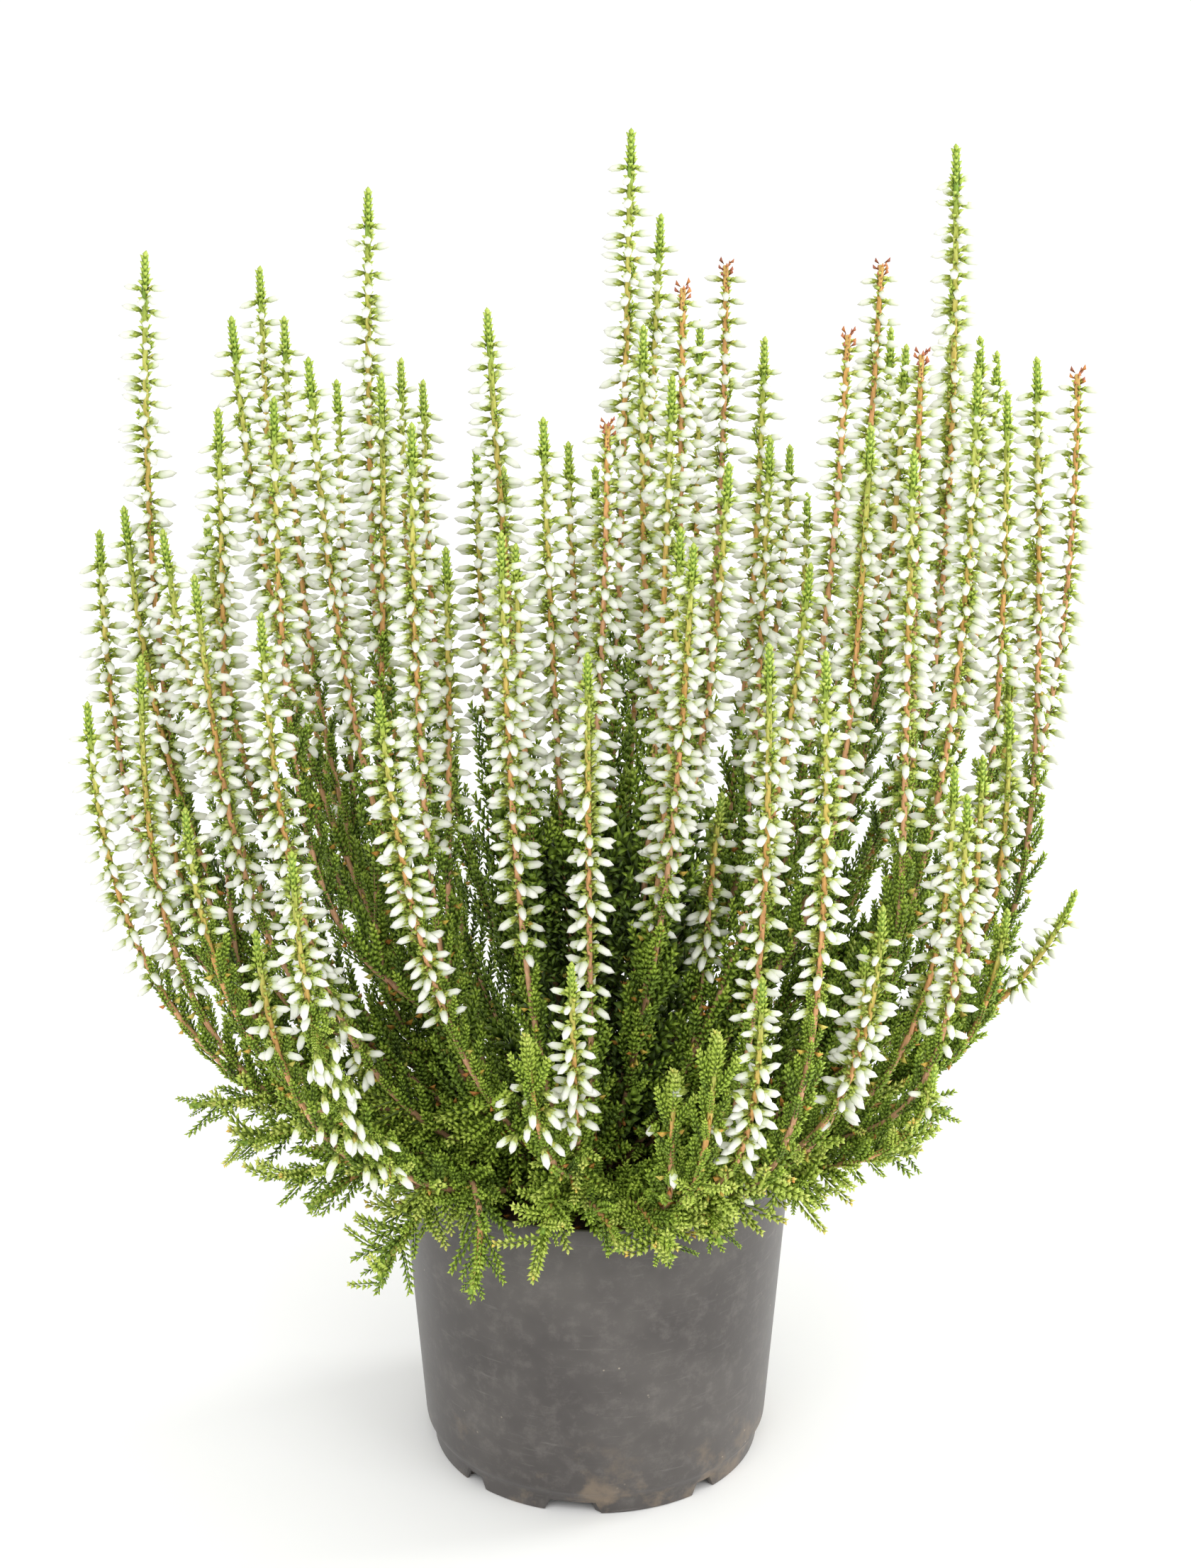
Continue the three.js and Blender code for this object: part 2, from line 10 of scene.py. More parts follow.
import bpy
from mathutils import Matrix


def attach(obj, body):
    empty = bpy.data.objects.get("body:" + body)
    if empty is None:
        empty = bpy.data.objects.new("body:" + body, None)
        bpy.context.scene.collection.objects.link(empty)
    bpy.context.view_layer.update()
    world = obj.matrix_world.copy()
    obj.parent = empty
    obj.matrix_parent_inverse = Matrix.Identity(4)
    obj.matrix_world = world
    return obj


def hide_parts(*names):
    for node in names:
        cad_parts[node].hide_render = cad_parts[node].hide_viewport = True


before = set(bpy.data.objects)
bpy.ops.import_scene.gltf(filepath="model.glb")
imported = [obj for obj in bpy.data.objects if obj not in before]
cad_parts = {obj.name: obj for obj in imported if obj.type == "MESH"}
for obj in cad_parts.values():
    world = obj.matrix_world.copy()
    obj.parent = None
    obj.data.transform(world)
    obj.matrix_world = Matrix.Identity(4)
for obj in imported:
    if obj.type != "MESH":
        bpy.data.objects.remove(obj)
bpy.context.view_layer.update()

# %% Libraries and units
import math
from collections import namedtuple

import bmesh
import bpy
import numpy as np
from mathutils import Vector

MM = 0.001
BODY = "root"
SEED = 20
print("one millimetre of the plan is", MM, "of the scene's metres")

# %% [markdown]
# ## Camera
# A plant of this size is looked at from a little over a metre away and slightly from above. A long lens
# keeps the upright stems parallel. The camera could be aimed with a constraint, but a turn worked out
# once from the direction to the target is easier to read and gives the same view each time.

# %% Camera
LOOK_AT = Vector((0.0, 0.0, 0.2004))
CAMERA_DISTANCE = 1.050
CAMERA_RAISE = math.radians(23.5)
LENS = 90.24


def aim(thing, target):
    """Turns an object so that its -Z axis points at the target."""
    thing.rotation_euler = (target - thing.location).to_track_quat("-Z", "Y").to_euler()


camera = bpy.data.objects.new("camera", bpy.data.cameras.new("camera"))
camera.data.lens = LENS
away = Vector((0.0, -math.cos(CAMERA_RAISE), math.sin(CAMERA_RAISE)))
camera.location = LOOK_AT + CAMERA_DISTANCE * away
aim(camera, LOOK_AT)
bpy.context.scene.collection.objects.link(camera)
bpy.context.scene.camera = camera
print("camera at", tuple(round(v, 3) for v in camera.location))

# %% [markdown]
# ## Studio light
# White flowers look white only in a bright, even room, and they keep their shape only if one side is a
# bit brighter. So a white world gives most of the light, a large soft box high on the left gives the
# direction, and a strip on the right draws a bright edge down the pot. One small lamp would cast hard
# shadows through the stems.

# %% Lamps and world
WORLD_LIGHT = 1.0


def soft_box(name, place, size, power):
    """A rectangular lamp at a place, facing the plant."""
    lamp = bpy.data.lights.new(name, "AREA")
    lamp.shape = "RECTANGLE"
    lamp.size, lamp.size_y = size
    lamp.energy = power
    box = bpy.data.objects.new(name, lamp)
    box.location = place
    aim(box, LOOK_AT)
    bpy.context.scene.collection.objects.link(box)
    return box


soft_box("key_left", Vector((-0.4, -1.6, 1.9)), (1.4, 1.4), 15)
soft_box("fill_right", Vector((1.5, -1.2, 1.1)), (1.2, 1.2), 10)
soft_box("edge_right", Vector((1.5, 0.5, 0.5)), (0.5, 1.4), 16)

world = bpy.data.worlds.new("white_room")
world.use_nodes = True
backdrop = world.node_tree.nodes["Background"]
backdrop.inputs["Color"].default_value = (1.0, 1.0, 1.0, 1.0)
backdrop.inputs["Strength"].default_value = WORLD_LIGHT
bpy.context.scene.world = world
bpy.context.scene.view_settings.view_transform = "Standard"

# %% [markdown]
# ## Tools for materials
# Every finish here is a small tree of nodes. Writing each node out takes four lines, so one helper adds a
# node, sets its values and links its inputs. Colours are easier to choose as 0 to 255, as in a paint
# program, and have to be turned into the linear light that the shader works in.

# %% Node helpers
def paint(red, green, blue):
    """A colour chosen as 0 to 255, in linear light."""
    def linear(value):
        share = value / 255
        return share / 12.92 if share <= 0.04045 else ((share + 0.055) / 1.055) ** 2.4

    return (linear(red), linear(green), linear(blue), 1.0)


def feed(tree, socket, value):
    """Gives an input its value, or links it to the output that it follows."""
    if isinstance(value, bpy.types.NodeSocket):
        tree.links.new(value, socket)
    else:
        socket.default_value = value


def set_inputs(tree, node, **inputs):
    """Feeds a node's inputs by name, with _ for a space."""
    for key, value in inputs.items():
        feed(tree, node.inputs[key.replace("_", " ")], value)


def add(tree, kind, settings=None, **inputs):
    """Adds a shader node with its settings and inputs."""
    made = tree.nodes.new("ShaderNode" + kind)
    for key, value in (settings or {}).items():
        setattr(made, key, value)
    set_inputs(tree, made, **inputs)
    return made


print("middle grey in linear light:", round(paint(128, 128, 128)[0], 3))

# %% Results and new materials
def maths(tree, operation, *values):
    """The result of a Math node, whose inputs are fed in order because they share one name."""
    made = add(tree, "Math", {"operation": operation})
    for socket, value in zip(made.inputs, values):
        feed(tree, socket, value)
    return made.outputs["Value"]


def ramp(tree, factor, stops):
    """A colour ramp with its stops as (place, colour)."""
    made = add(tree, "ValToRGB", Fac=factor)
    marks = made.color_ramp.elements
    while len(marks) < len(stops):
        marks.new(1.0)
    for mark, (place, colour) in zip(marks, stops):
        mark.position = place
        mark.color = colour
    return made.outputs["Color"]


def laid_over(tree, under, colour, share, blend="MIX"):
    """One colour laid over another, mixed or multiplied."""
    mixed = add(tree, "MixRGB", {"blend_type": blend}, Fac=share, Color1=under, Color2=colour)
    return mixed.outputs["Color"]


def finish_named(name, **inputs):
    """A new material, its tree and its main shader with the shader's plain values set."""
    finish = bpy.data.materials.new(name)
    finish.use_nodes = True
    shader = finish.node_tree.nodes["Principled BSDF"]
    set_inputs(finish.node_tree, shader, **inputs)
    return finish, finish.node_tree, shader


print("materials so far:", len(bpy.data.materials))

# %% [markdown]
# ## Leaf finish
# A heather leaf is fresh green at the shoot's tip, darker where it is older, and yellow, orange or brown
# when it dies. There are tens of thousands of leaves, so their colour can't come from a place in space.
# Each leaf is instead unwrapped onto a small paint chart: across the chart runs its age, up the chart
# runs the leaf from root to tip. One colour ramp then paints them all, and one shift of the map makes a
# leaf older. A second ramp up the chart darkens each leaf towards its root: painted shade, for the shadow
# that the leaves cast on each other there.

# %% Leaf finish
CHART = "OFBake"
LEAF_TONES = [
    (0.00, paint(50, 70, 24)),
    (0.14, paint(98, 124, 40)),
    (0.28, paint(140, 170, 54)),
    (0.42, paint(170, 198, 66)),
    (0.56, paint(190, 212, 84)),
    (0.68, paint(204, 220, 104)),
    (0.76, paint(220, 226, 116)),
    (0.83, paint(232, 200, 88)),
    (0.89, paint(226, 152, 72)),
    (0.95, paint(190, 112, 82)),
    (1.00, paint(120, 74, 54)),
]
# The first of these places is painted shade for shoots deep in the bush; the rest are a leaf's ages.
PAINTED_SHADE_TONE, OLD, MID, FRESH, TIP, YELLOW, ORANGE, RUSTY = 0.08, 0.2, 0.32, 0.46, 0.6, 0.82, 0.88, 0.95
PLAIN_WHITE = paint(255, 255, 255)


def chart_place(tree):
    """The two directions of a piece's paint chart."""
    chart = add(tree, "UVMap", {"uv_map": CHART})
    both = add(tree, "SeparateXYZ", Vector=chart.outputs["UV"])
    return both.outputs["X"], both.outputs["Y"]


def leaf_finish():
    finish, tree, shader = finish_named("heather_leaf", Roughness=0.48, Specular_IOR_Level=0.5)
    age, along = chart_place(tree)
    # Painted shade: each leaf is darkened towards its root, where the leaves shade each other.
    painted_root_shade = ramp(tree, along, [(0.08, paint(138, 146, 112)), (0.36, PLAIN_WHITE)])
    colour = laid_over(tree, ramp(tree, age, LEAF_TONES), painted_root_shade, 1.0, "MULTIPLY")
    set_inputs(tree, shader, Base_Color=colour)
    return finish


LEAF = leaf_finish()
print("material:", LEAF.name)

# %% [markdown]
# ## Bud finish
# A closed heather bud is four white papery sepals. It is pale green where it sits in its bracts and pure
# white further out, and light passes through it, so its shaded side stays bright. A plain white would
# look like plaster: a little light under the surface and the green foot make it a petal. Young buds near
# the tip of a raceme are a little greener all over, which the chart gives by their place across it.

# %% Bud finish
SEPAL_TONES = [
    (0.0, paint(156, 182, 90)),
    (0.18, paint(190, 206, 136)),
    (0.36, paint(226, 232, 208)),
    (0.55, paint(240, 241, 233)),
    (0.95, paint(242, 242, 238)),
    (1.0, paint(230, 224, 208)),
]
YOUNG_CAST = [(0.0, paint(216, 232, 176)), (0.35, paint(246, 248, 238)), (1.0, PLAIN_WHITE)]


def bud_finish():
    finish, tree, shader = finish_named(
        "white_sepal",
        Roughness=0.5,
        Specular_IOR_Level=0.3,
        Subsurface_Weight=0.3,
        Subsurface_Radius=(1.0, 1.0, 0.8),
        Subsurface_Scale=0.0012,
    )
    ripeness, along = chart_place(tree)
    cast = ramp(tree, ripeness, YOUNG_CAST)
    colour = laid_over(tree, ramp(tree, along, SEPAL_TONES), cast, 1.0, "MULTIPLY")
    set_inputs(tree, shader, Base_Color=colour)
    return finish


SEPAL = bud_finish()
print("material:", SEPAL.name)

# %% [markdown]
# ## Bark finish
# The stem changes along its length: brown and woody at the foot, pinkish brown higher up, orange and then
# yellow green just under the tip. The stem's chart runs from foot to tip, so a ramp along it gives the
# change. Streaks that follow the wood come from noise that is stretched upwards.

# %% Bark finish
WOOD_TONES = [
    (0.0, paint(132, 98, 74)),
    (0.22, paint(214, 166, 132)),
    (0.48, paint(240, 188, 148)),
    (0.66, paint(246, 184, 130)),
    (0.77, paint(238, 184, 106)),
    (0.85, paint(232, 212, 112)),
    (0.92, paint(214, 220, 112)),
    (0.95, paint(186, 204, 88)),
    (0.97, paint(140, 178, 62)),
]
STREAK_SCALE = (1800.0, 1800.0, 260.0)


def bark_finish():
    finish, tree, shader = finish_named("heather_bark", Roughness=0.6)
    _, along = chart_place(tree)
    place = add(tree, "TexCoord").outputs["Object"]
    stretched = add(tree, "Mapping", Vector=place, Scale=STREAK_SCALE).outputs["Vector"]
    streaks = add(tree, "TexNoise", Vector=stretched, Scale=1.0, Detail=3.0).outputs["Fac"]
    shade = ramp(tree, streaks, [(0.32, paint(200, 190, 178)), (0.7, PLAIN_WHITE)])
    colour = laid_over(tree, ramp(tree, along, WOOD_TONES), shade, 0.85, "MULTIPLY")
    bump = add(tree, "Bump", Height=streaks, Strength=0.5, Distance=0.0002)
    set_inputs(tree, shader, Base_Color=colour, Normal=bump.outputs["Normal"])
    return finish


BARK = bark_finish()
print("material:", BARK.name)

# %% [markdown]
# ## Where the stems run
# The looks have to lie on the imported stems, so the same rule is followed here. Each stem is one smooth
# bend from its hole in the soil to its tip, given by four points: the base, two that steer the bend, and
# the tip. A row below is one stem with one to three racemes, in millimetres: x, y, z of the tip, how far
# the stem bows out before it rises, and the length that is in flower.

# %% Stem lists
FLOWER_STEMS = [
    [[-129, -40, 240, 0.9, 75]],
    [[-115, -38, 252, 1.1, 85]],
    [[-121, -10, 282, 0.75, 95], [-130, 8, 269, 1.0, 95]],
    [[-109, -30, 283, 0.65, 85], [-100, -44, 276, 0.7, 95]],
    [[-102, 12, 272, 0.8, 70], [-114, -8, 221, 1.0, 45]],
    [[-113, -5, 348, 1.2, 120], [-95, -18, 311, 0.95, 75]],
    [[-93, 5, 328, 0.65, 110], [-90, 58, 326, 0.9, 110]],
    [[-82, 35, 319, 0.9, 95], [-69, 40, 300, 0.8, 90]],
    [[-71, -30, 328, 0.65, 110], [-79, -40, 321, 1.05, 75]],
    [[-57, 0, 363, 1.3, 130], [-54, -14, 319, 0.9, 65]],
    [[-54, 85, 292, 1.0, 95]],
    [[-45, -45, 316, 1.1, 110], [-38, -24, 276, 0.8, 70]],
    [[-83, -52, 269, 0.85, 130]],
    [[-104, -52, 216, 0.8, 28]],
    [[-74, -92, 222, 0.85, 38], [-85, -76, 193, 0.8, 28]],
    [[-53, -74, 257, 0.55, 95]],
    [[-32, 40, 281, 0.8, 70], [-47, 62, 293, 0.9, 90]],
    [[-27, -18, 337, 0.3, 115], [-20, -38, 282, 0.5, 70]],
    [[-23, -60, 293, 0.7, 110]],
    [[-13, -32, 313, 0.3, 100], [3, -36, 314, 0.5, 110]],
    [[9, 8, 376, 0.2, 130], [-7, 0, 296, 0.3, 95]],
    [[17, 34, 347, 0.2, 115], [35, 60, 327, 1.1, 110]],
    [[29, 88, 302, 1.0, 100], [54, 75, 270, 0.8, 85]],
    [[22, -6, 340, 1.0, 100], [12, -16, 332, 0.4, 90]],
    [[44, 20, 318, 0.8, 100], [44, -20, 304, 0.7, 90]],
    [[19, -32, 324, 0.5, 90], [33, -40, 304, 0.5, 90]],
    [[21, -48, 290, 0.5, 110], [24, -60, 290, 0.4, 100]],
    [[-2, -72, 266, 0.5, 100]],
    [[42, -78, 271, 1.15, 95]],
    [[55, -88, 273, 1.3, 90]],
    [[63, -20, 332, 0.75, 110], [68, -38, 313, 0.8, 100]],
    [[54, -36, 276, 0.5, 85], [33, -24, 208, 0.3, 45]],
    [[76, 50, 330, 0.8, 110], [80, 10, 319, 0.8, 75]],
    [[82, 88, 300, 1.0, 100], [96, 58, 324, 1.0, 110]],
    [[90, 0, 374, 1.25, 130], [82, -14, 325, 0.9, 100]],
    [[94, -36, 327, 1.0, 115], [78, -48, 310, 0.9, 100]],
    [[102, 40, 312, 1.1, 100], [105, -4, 311, 1.1, 90]],
    [[110, 72, 298, 1.05, 100]],
    [[127, 30, 306, 1.1, 120], [114, 12, 315, 1.25, 110]],
    [[108, -14, 229, 1.1, 45], [100, -30, 221, 1.0, 55]],
    [[91, -48, 226, 1.0, 65], [93, -62, 224, 1.0, 65]],
    [[131, 8, 165, 0.55, 24], [107, -40, 182, 0.7, 6]],
    [[88, -58, 146, 0.8, 4]],
    [[72, -72, 198, 0.9, 55], [69, -56, 179, 0.9, 45]],
    [[-6, -86, 189, 0.6, 50], [-17, -84, 168, 0.7, 50]],
    [[41, -96, 190, 0.9, 55]],
    [[30, -98, 176, 0.7, 20], [20, -88, 160, 0.6, 15]],
    [[-60, 92, 232, 1.0, 80], [-84, 80, 250, 1.0, 90], [-106, 50, 256, 1.0, 85]],
    [[-26, 92, 258, 1.0, 95], [0, 80, 262, 0.9, 95], [-4, 94, 206, 0.9, 60]],
    [[30, 92, 236, 1.0, 80], [60, 92, 250, 1.0, 90], [82, 62, 236, 0.9, 70]],
    [[96, 86, 244, 0.9, 85], [118, 48, 256, 0.95, 90], [112, 24, 226, 0.95, 70]],
]
# Low leafy sprays, which lean over the rim: x, y, z of each tip.
LEAF_SPRAYS = [
    [[-96, -42, 114], [-110, -30, 119]],
    [[-84, -50, 108], [-78, -42, 94]],
    [[-58, -62, 83], [-33, -72, 85]],
    [[-14, -70, 102], [6, -74, 99]],
    [[20, -76, 98], [33, -70, 99]],
    [[89, -20, 99], [96, -30, 117], [80, -40, 108]],
    [[57, -55, 103], [60, -40, 102]],
]
print("racemes:", sum(map(len, FLOWER_STEMS)), "spray tips:", sum(map(len, LEAF_SPRAYS)))

# %% [markdown]
# A stem leaves the soil near the middle and bends out and up. One that reaches far out first passes over
# the pot's rim, and a low spray climbs over the rim and droops. A curve object could hold each bend, but
# a bend of four points is short enough to work out, and its points can be pushed about as plain numbers.

# %% The bend of each stem
RIM_RADIUS = 55
SOIL_TOP = 85
BASE_SPREAD = 25
SPRAY_CREST = 108
OUTER_REACH = 75
RIM_PASS = 105


def base_of(tip):
    """Where a stem leaves the soil: the flatter it leans, the further out it stands."""
    rise = tip[2] - SOIL_TOP + BASE_SPREAD
    lean = math.hypot(tip[0], tip[1]) / rise
    share = BASE_SPREAD / rise / (1 + 0.35 * lean)
    return np.array([tip[0] * share, tip[1] * share, SOIL_TOP + 1])


def flower_bend(spike):
    """Base, low, high and tip of a flowering stem."""
    tip, bow = np.array(spike[:3], float), spike[3]
    base = base_of(tip)
    low = base + (tip - base) * [0.33 + 0.27 * bow, 0.33 + 0.27 * bow, 0.33 - 0.25 * bow]
    high = base + (tip - base) * [0.67 + 0.36 * bow, 0.67 + 0.36 * bow, 0.67 - 0.43 * bow]
    if math.hypot(tip[0], tip[1]) > OUTER_REACH:
        low[2] = max(low[2], RIM_PASS)
        high[2] = max(high[2], RIM_PASS)
    return np.array([base, low, high, tip])


def spray_bend(spike):
    """Base, low, high and tip of a low spray."""
    tip = np.array(spike[:3], float)
    outward = tip[:2] / np.hypot(*tip[:2])
    low = [*(outward * (RIM_RADIUS - 8)), SPRAY_CREST]
    high = [*(outward * (RIM_RADIUS + 7)), max(tip[2], SPRAY_CREST)]
    return np.array([base_of(tip), low, high, tip])


branches = [[flower_bend(spike) for spike in stem] for stem in FLOWER_STEMS]
branches += [[spray_bend(spike) for spike in spray] for spray in LEAF_SPRAYS]
bends = np.array([bend for branch in branches for bend in branch])
print("bends:", len(bends), "on", len(branches), "stems")

# %% [markdown]
# Stems that start too near each other are moved apart, side racemes fork off their stem, and stems that
# pass too near each other bend clear. It is the same relaxation that the frame was made with, in the same
# order, so that bark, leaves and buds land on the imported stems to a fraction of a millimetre.

# %% Stems start apart
BASE_ROUNDS, BASE_GAP = 200, 4.3
starts = np.cumsum([0] + [len(branch) for branch in branches])
mains = starts[:-1]


def spread_bases():
    """Moves stems apart that leave the soil too near each other."""
    for _ in range(BASE_ROUNDS):
        for i, a in enumerate(mains):
            for b in mains[i + 1:]:
                dx = bends[a, 0, 0] - bends[b, 0, 0]
                dy = bends[a, 0, 1] - bends[b, 0, 1]
                gap = math.hypot(dx, dy)
                if gap < BASE_GAP:
                    push = (BASE_GAP - gap) / 2 / max(gap, 0.01)
                    bends[a, 0, :2] += dx * push, dy * push
                    bends[b, 0, :2] -= dx * push, dy * push


spread_bases()
print("stems leave the soil up to", round(np.hypot(*bends[mains, 0, :2].T).max(), 1), "mm from the middle")

# %% Side racemes fork off
FORK_AT, FORK_SPACING = 0.24, 0.1


def on_bend(bend, t):
    """A point of a bend, from 0 at its base to 1 at its tip."""
    s = 1 - t
    return np.array([s**3, 3 * s * s * t, 3 * s * t * t, t**3]) @ bend


def join_forks():
    """A side raceme leaves its stem along the stem's own direction."""
    for main, end in zip(mains, starts[1:]):
        for i, side in enumerate(range(main + 1, end)):
            at = FORK_AT + FORK_SPACING * i
            bends[side, 0] = on_bend(bends[main], at)
            ahead = on_bend(bends[main], at + 0.02) - bends[side, 0]
            reach = np.linalg.norm(bends[side, 3] - bends[side, 0])
            bends[side, 1] = bends[side, 0] + ahead / np.linalg.norm(ahead) * 0.3 * reach


join_forks()
print("side racemes:", len(bends) - len(mains))

# %% Stems bend clear of each other
CLEAR_ROUNDS, CLEAR_STEPS, STEM_GAP, OVERSHOOT, YIELD = 150, 16, 4, 0.05, 1.6
owner = np.repeat(np.arange(len(branches)), np.diff(starts))


def bend_clear():
    """Pushes the bends apart until none pass nearer than STEM_GAP. Returns the rounds it took."""
    ts = (np.arange(CLEAR_STEPS) + 1) / CLEAR_STEPS
    shares = np.stack([(1 - ts) ** 3, 3 * (1 - ts) ** 2 * ts, 3 * (1 - ts) * ts**2, ts**3], 1)
    grid = len(bends), CLEAR_STEPS
    pairs = np.triu(owner[:, None] != owner[None, :], 1)
    for round_done in range(CLEAR_ROUNDS):
        points = shares @ bends
        flat = points.reshape(-1, 3)
        squares = (flat**2).sum(1)
        apart = squares[:, None] + squares[None] - 2 * flat @ flat.T
        apart = apart.reshape(*grid, *grid).transpose(0, 2, 1, 3).reshape(len(bends), len(bends), -1)
        nearest = apart.argmin(2)
        close = (np.take_along_axis(apart, nearest[:, :, None], 2)[:, :, 0] < STEM_GAP**2) & pairs
        for i, j in np.argwhere(close):
            a, b = divmod(nearest[i, j], CLEAR_STEPS)
            away = points[i, a] - points[j, b]
            gap = np.linalg.norm(away)
            away *= ((STEM_GAP - gap) * 0.5 + OVERSHOOT) / gap
            for run, k, way in ((i, a, 1), (j, b, -1)):
                bends[run, 1] += away * way * (1 - ts[k]) * YIELD
                bends[run, 2] += away * way * min(1, YIELD * ts[k])
        join_forks()
        if not close.any():
            return round_done
    return CLEAR_ROUNDS


print("stems clear after", bend_clear(), "rounds")

# %% [markdown]
# ## Shapes that repeat
# A shape is a small closed mesh: its points, its three-cornered faces, its place on the paint chart and
# whether each face is shaded smooth. Blender could place copies as instances, but a plant that is one
# real mesh per stem can be exported and measured, so copies are turned and moved as numbers and joined.

# %% A shape from a bmesh
Shape = namedtuple("Shape", "points faces places smooth")


def shape_from(bm, chart, smooth):
    """Takes a bmesh over as a shape. chart(point) gives a point's place on the paint chart."""
    bmesh.ops.triangulate(bm, faces=bm.faces[:])
    bmesh.ops.recalc_face_normals(bm, faces=bm.faces[:])
    bm.verts.index_update()
    points = np.array([vert.co[:] for vert in bm.verts])
    faces = np.array([[vert.index for vert in face.verts] for face in bm.faces])
    spots = np.array([chart(vert.co) for vert in bm.verts])
    bm.free()
    return Shape(points, faces, spots[faces], np.full(len(faces), smooth))


print("a shape has", ", ".join(Shape._fields))

# %% Turned copies of a shape
def unit(vectors):
    return vectors / np.linalg.norm(vectors, axis=-1, keepdims=True)


def turns_to(directions, outwards):
    """Turns that bring a shape's Z to each direction and its Y as near as can be to each outward."""
    z = unit(directions)
    x = unit(np.cross(outwards, z))
    return np.stack([x, np.cross(z, x), z], -1)


def copies(shape, origins, turns, scales, tones):
    """Copies of a shape, each turned, scaled, moved, and shifted across the paint chart."""
    count, size = len(origins), len(shape.points)
    points = np.einsum("nij,mj->nmi", turns, shape.points) * scales[:, None, None] + origins[:, None]
    faces = shape.faces[None] + size * np.arange(count)[:, None, None]
    places = np.repeat(shape.places[None], count, 0)
    places[..., 0] = np.clip(places[..., 0] + tones[:, None, None], 0.002, 0.998)
    return Shape(
        points.reshape(-1, 3), faces.reshape(-1, 3), places.reshape(-1, 3, 2), np.tile(shape.smooth, count)
    )


def joined(shapes):
    """Several shapes as one."""
    offsets = np.cumsum([0] + [len(shape.points) for shape in shapes[:-1]])
    return Shape(
        np.concatenate([shape.points for shape in shapes]),
        np.concatenate([shape.faces + offset for shape, offset in zip(shapes, offsets)]),
        np.concatenate([shape.places for shape in shapes]),
        np.concatenate([shape.smooth for shape in shapes]),
    )


print("a quarter turn:", turns_to(np.array([[1.0, 0, 0]]), np.array([[0, 1.0, 0]])).round().tolist())

# %% Many copies at once
class Bunch:
    """Copies of a few shapes, noted one by one and made all together."""

    def __init__(self):
        self.noted = {}

    def put(self, shape, origin, direction, outward, scale=1.0, tone=0.0):
        self.noted.setdefault(id(shape), (shape, []))[1].append((*origin, *direction, *outward, scale, tone))

    def shape(self):
        made = []
        for shape, rows in self.noted.values():
            table = np.array(rows)
            turns = turns_to(table[:, 3:6], table[:, 6:9])
            made.append(copies(shape, table[:, :3], turns, table[:, 9], table[:, 10]))
        return joined(made)


print("shapes in a new bunch:", len(Bunch().noted))

# %% [markdown]
# ## One leaf
# Heather leaves are scale leaves two or three millimetres long, keeled like a boat. A three-sided cone
# has just the four faces that such a leaf needs: its tip is the leaf's tip, one corner of its base stays
# at the root, and the other two slide up and make the leaf's widest place. The edge from root to tip is
# then the keel.

# %% One leaf
LEAF_WIDTH_ON_CHART = 0.006
CHART_LOW, CHART_HIGH = 0.08, 0.48


def leaf_shape(width, thickness, waist, curl):
    """A leaf one unit long, rooted at the origin. It points along Z and its keel faces Y."""
    bm = bmesh.new()
    bmesh.ops.create_cone(bm, cap_ends=True, segments=3, radius1=0.5, radius2=0.0, depth=1.0)
    for vert in bm.verts:
        if vert.co.z > 0:
            vert.co = (0.0, -curl, 1.0)
        elif vert.co.y > 0:
            vert.co = (0.0, 0.0, 0.0)
        else:
            vert.co = (math.copysign(width / 2, vert.co.x), -thickness, waist)
    return shape_from(
        bm,
        lambda point: (
            LEAF_WIDTH_ON_CHART * 2 * point.x / width,
            CHART_LOW + (CHART_HIGH - CHART_LOW) * point.z,
        ),
        True,
    )


SCALE_LEAF = leaf_shape(width=0.42, thickness=0.36, waist=0.6, curl=0.06)
BROAD_LEAF = leaf_shape(width=0.6, thickness=0.2, waist=0.55, curl=0.0)
print("leaf faces:", len(SCALE_LEAF.faces))

# %% [markdown]
# ## Leafy shoots
# Leaves stand in opposite pairs, and each pair is turned a quarter from the last, so a shoot looks like a
# braid. The leaves lie close near its tip and spread below. Every shoot could be grown leaf by leaf in
# its place, but nobody can tell thousands of them apart. So a few shoots of different length and density
# are modelled once, each slightly curved, with a slim core under the leaves, and then copied.

# %% Leafy shoots
CORE_REACH = 0.92
CORE_RADIUS = 0.4


def braid(leaf, pairs, rng, leaf_at):
    """Crossed pairs of leaves round Z. leaf_at gives a leaf's way out, height, lean, size and tone."""
    leaves = Bunch()
    for k in range(pairs):
        for side in range(2):
            around = math.pi * (0.5 * (k % 2) + side) + rng.normal(0, 0.1)
            out, height, lean, size, tone = leaf_at(k)
            ring = np.array([math.cos(around), math.sin(around), 0.0])
            direction = ring * math.sin(lean) + [0, 0, math.cos(lean)]
            outward = ring * math.cos(lean) - [0, 0, math.sin(lean)]
            leaves.put(leaf, ring * out + [0, 0, height], direction, outward, size, tone)
    return leaves.shape()


def core_shape(length, radius):
    """The slim twig under a shoot's leaves."""
    bm = bmesh.new()
    bmesh.ops.create_cone(bm, cap_ends=True, segments=3, radius1=radius, radius2=0.0, depth=length)
    bmesh.ops.translate(bm, verts=bm.verts, vec=(0, 0, length / 2))
    # The twig lies at the foot of the chart, where the leaves' painted root shade is darkest, and a tenth
    # darker across it: it is painted as the shade inside the shoot.
    return shape_from(bm, lambda point: (-0.1 + 0.01 * point.x / radius, CHART_LOW + 0.02 * point.y), False)


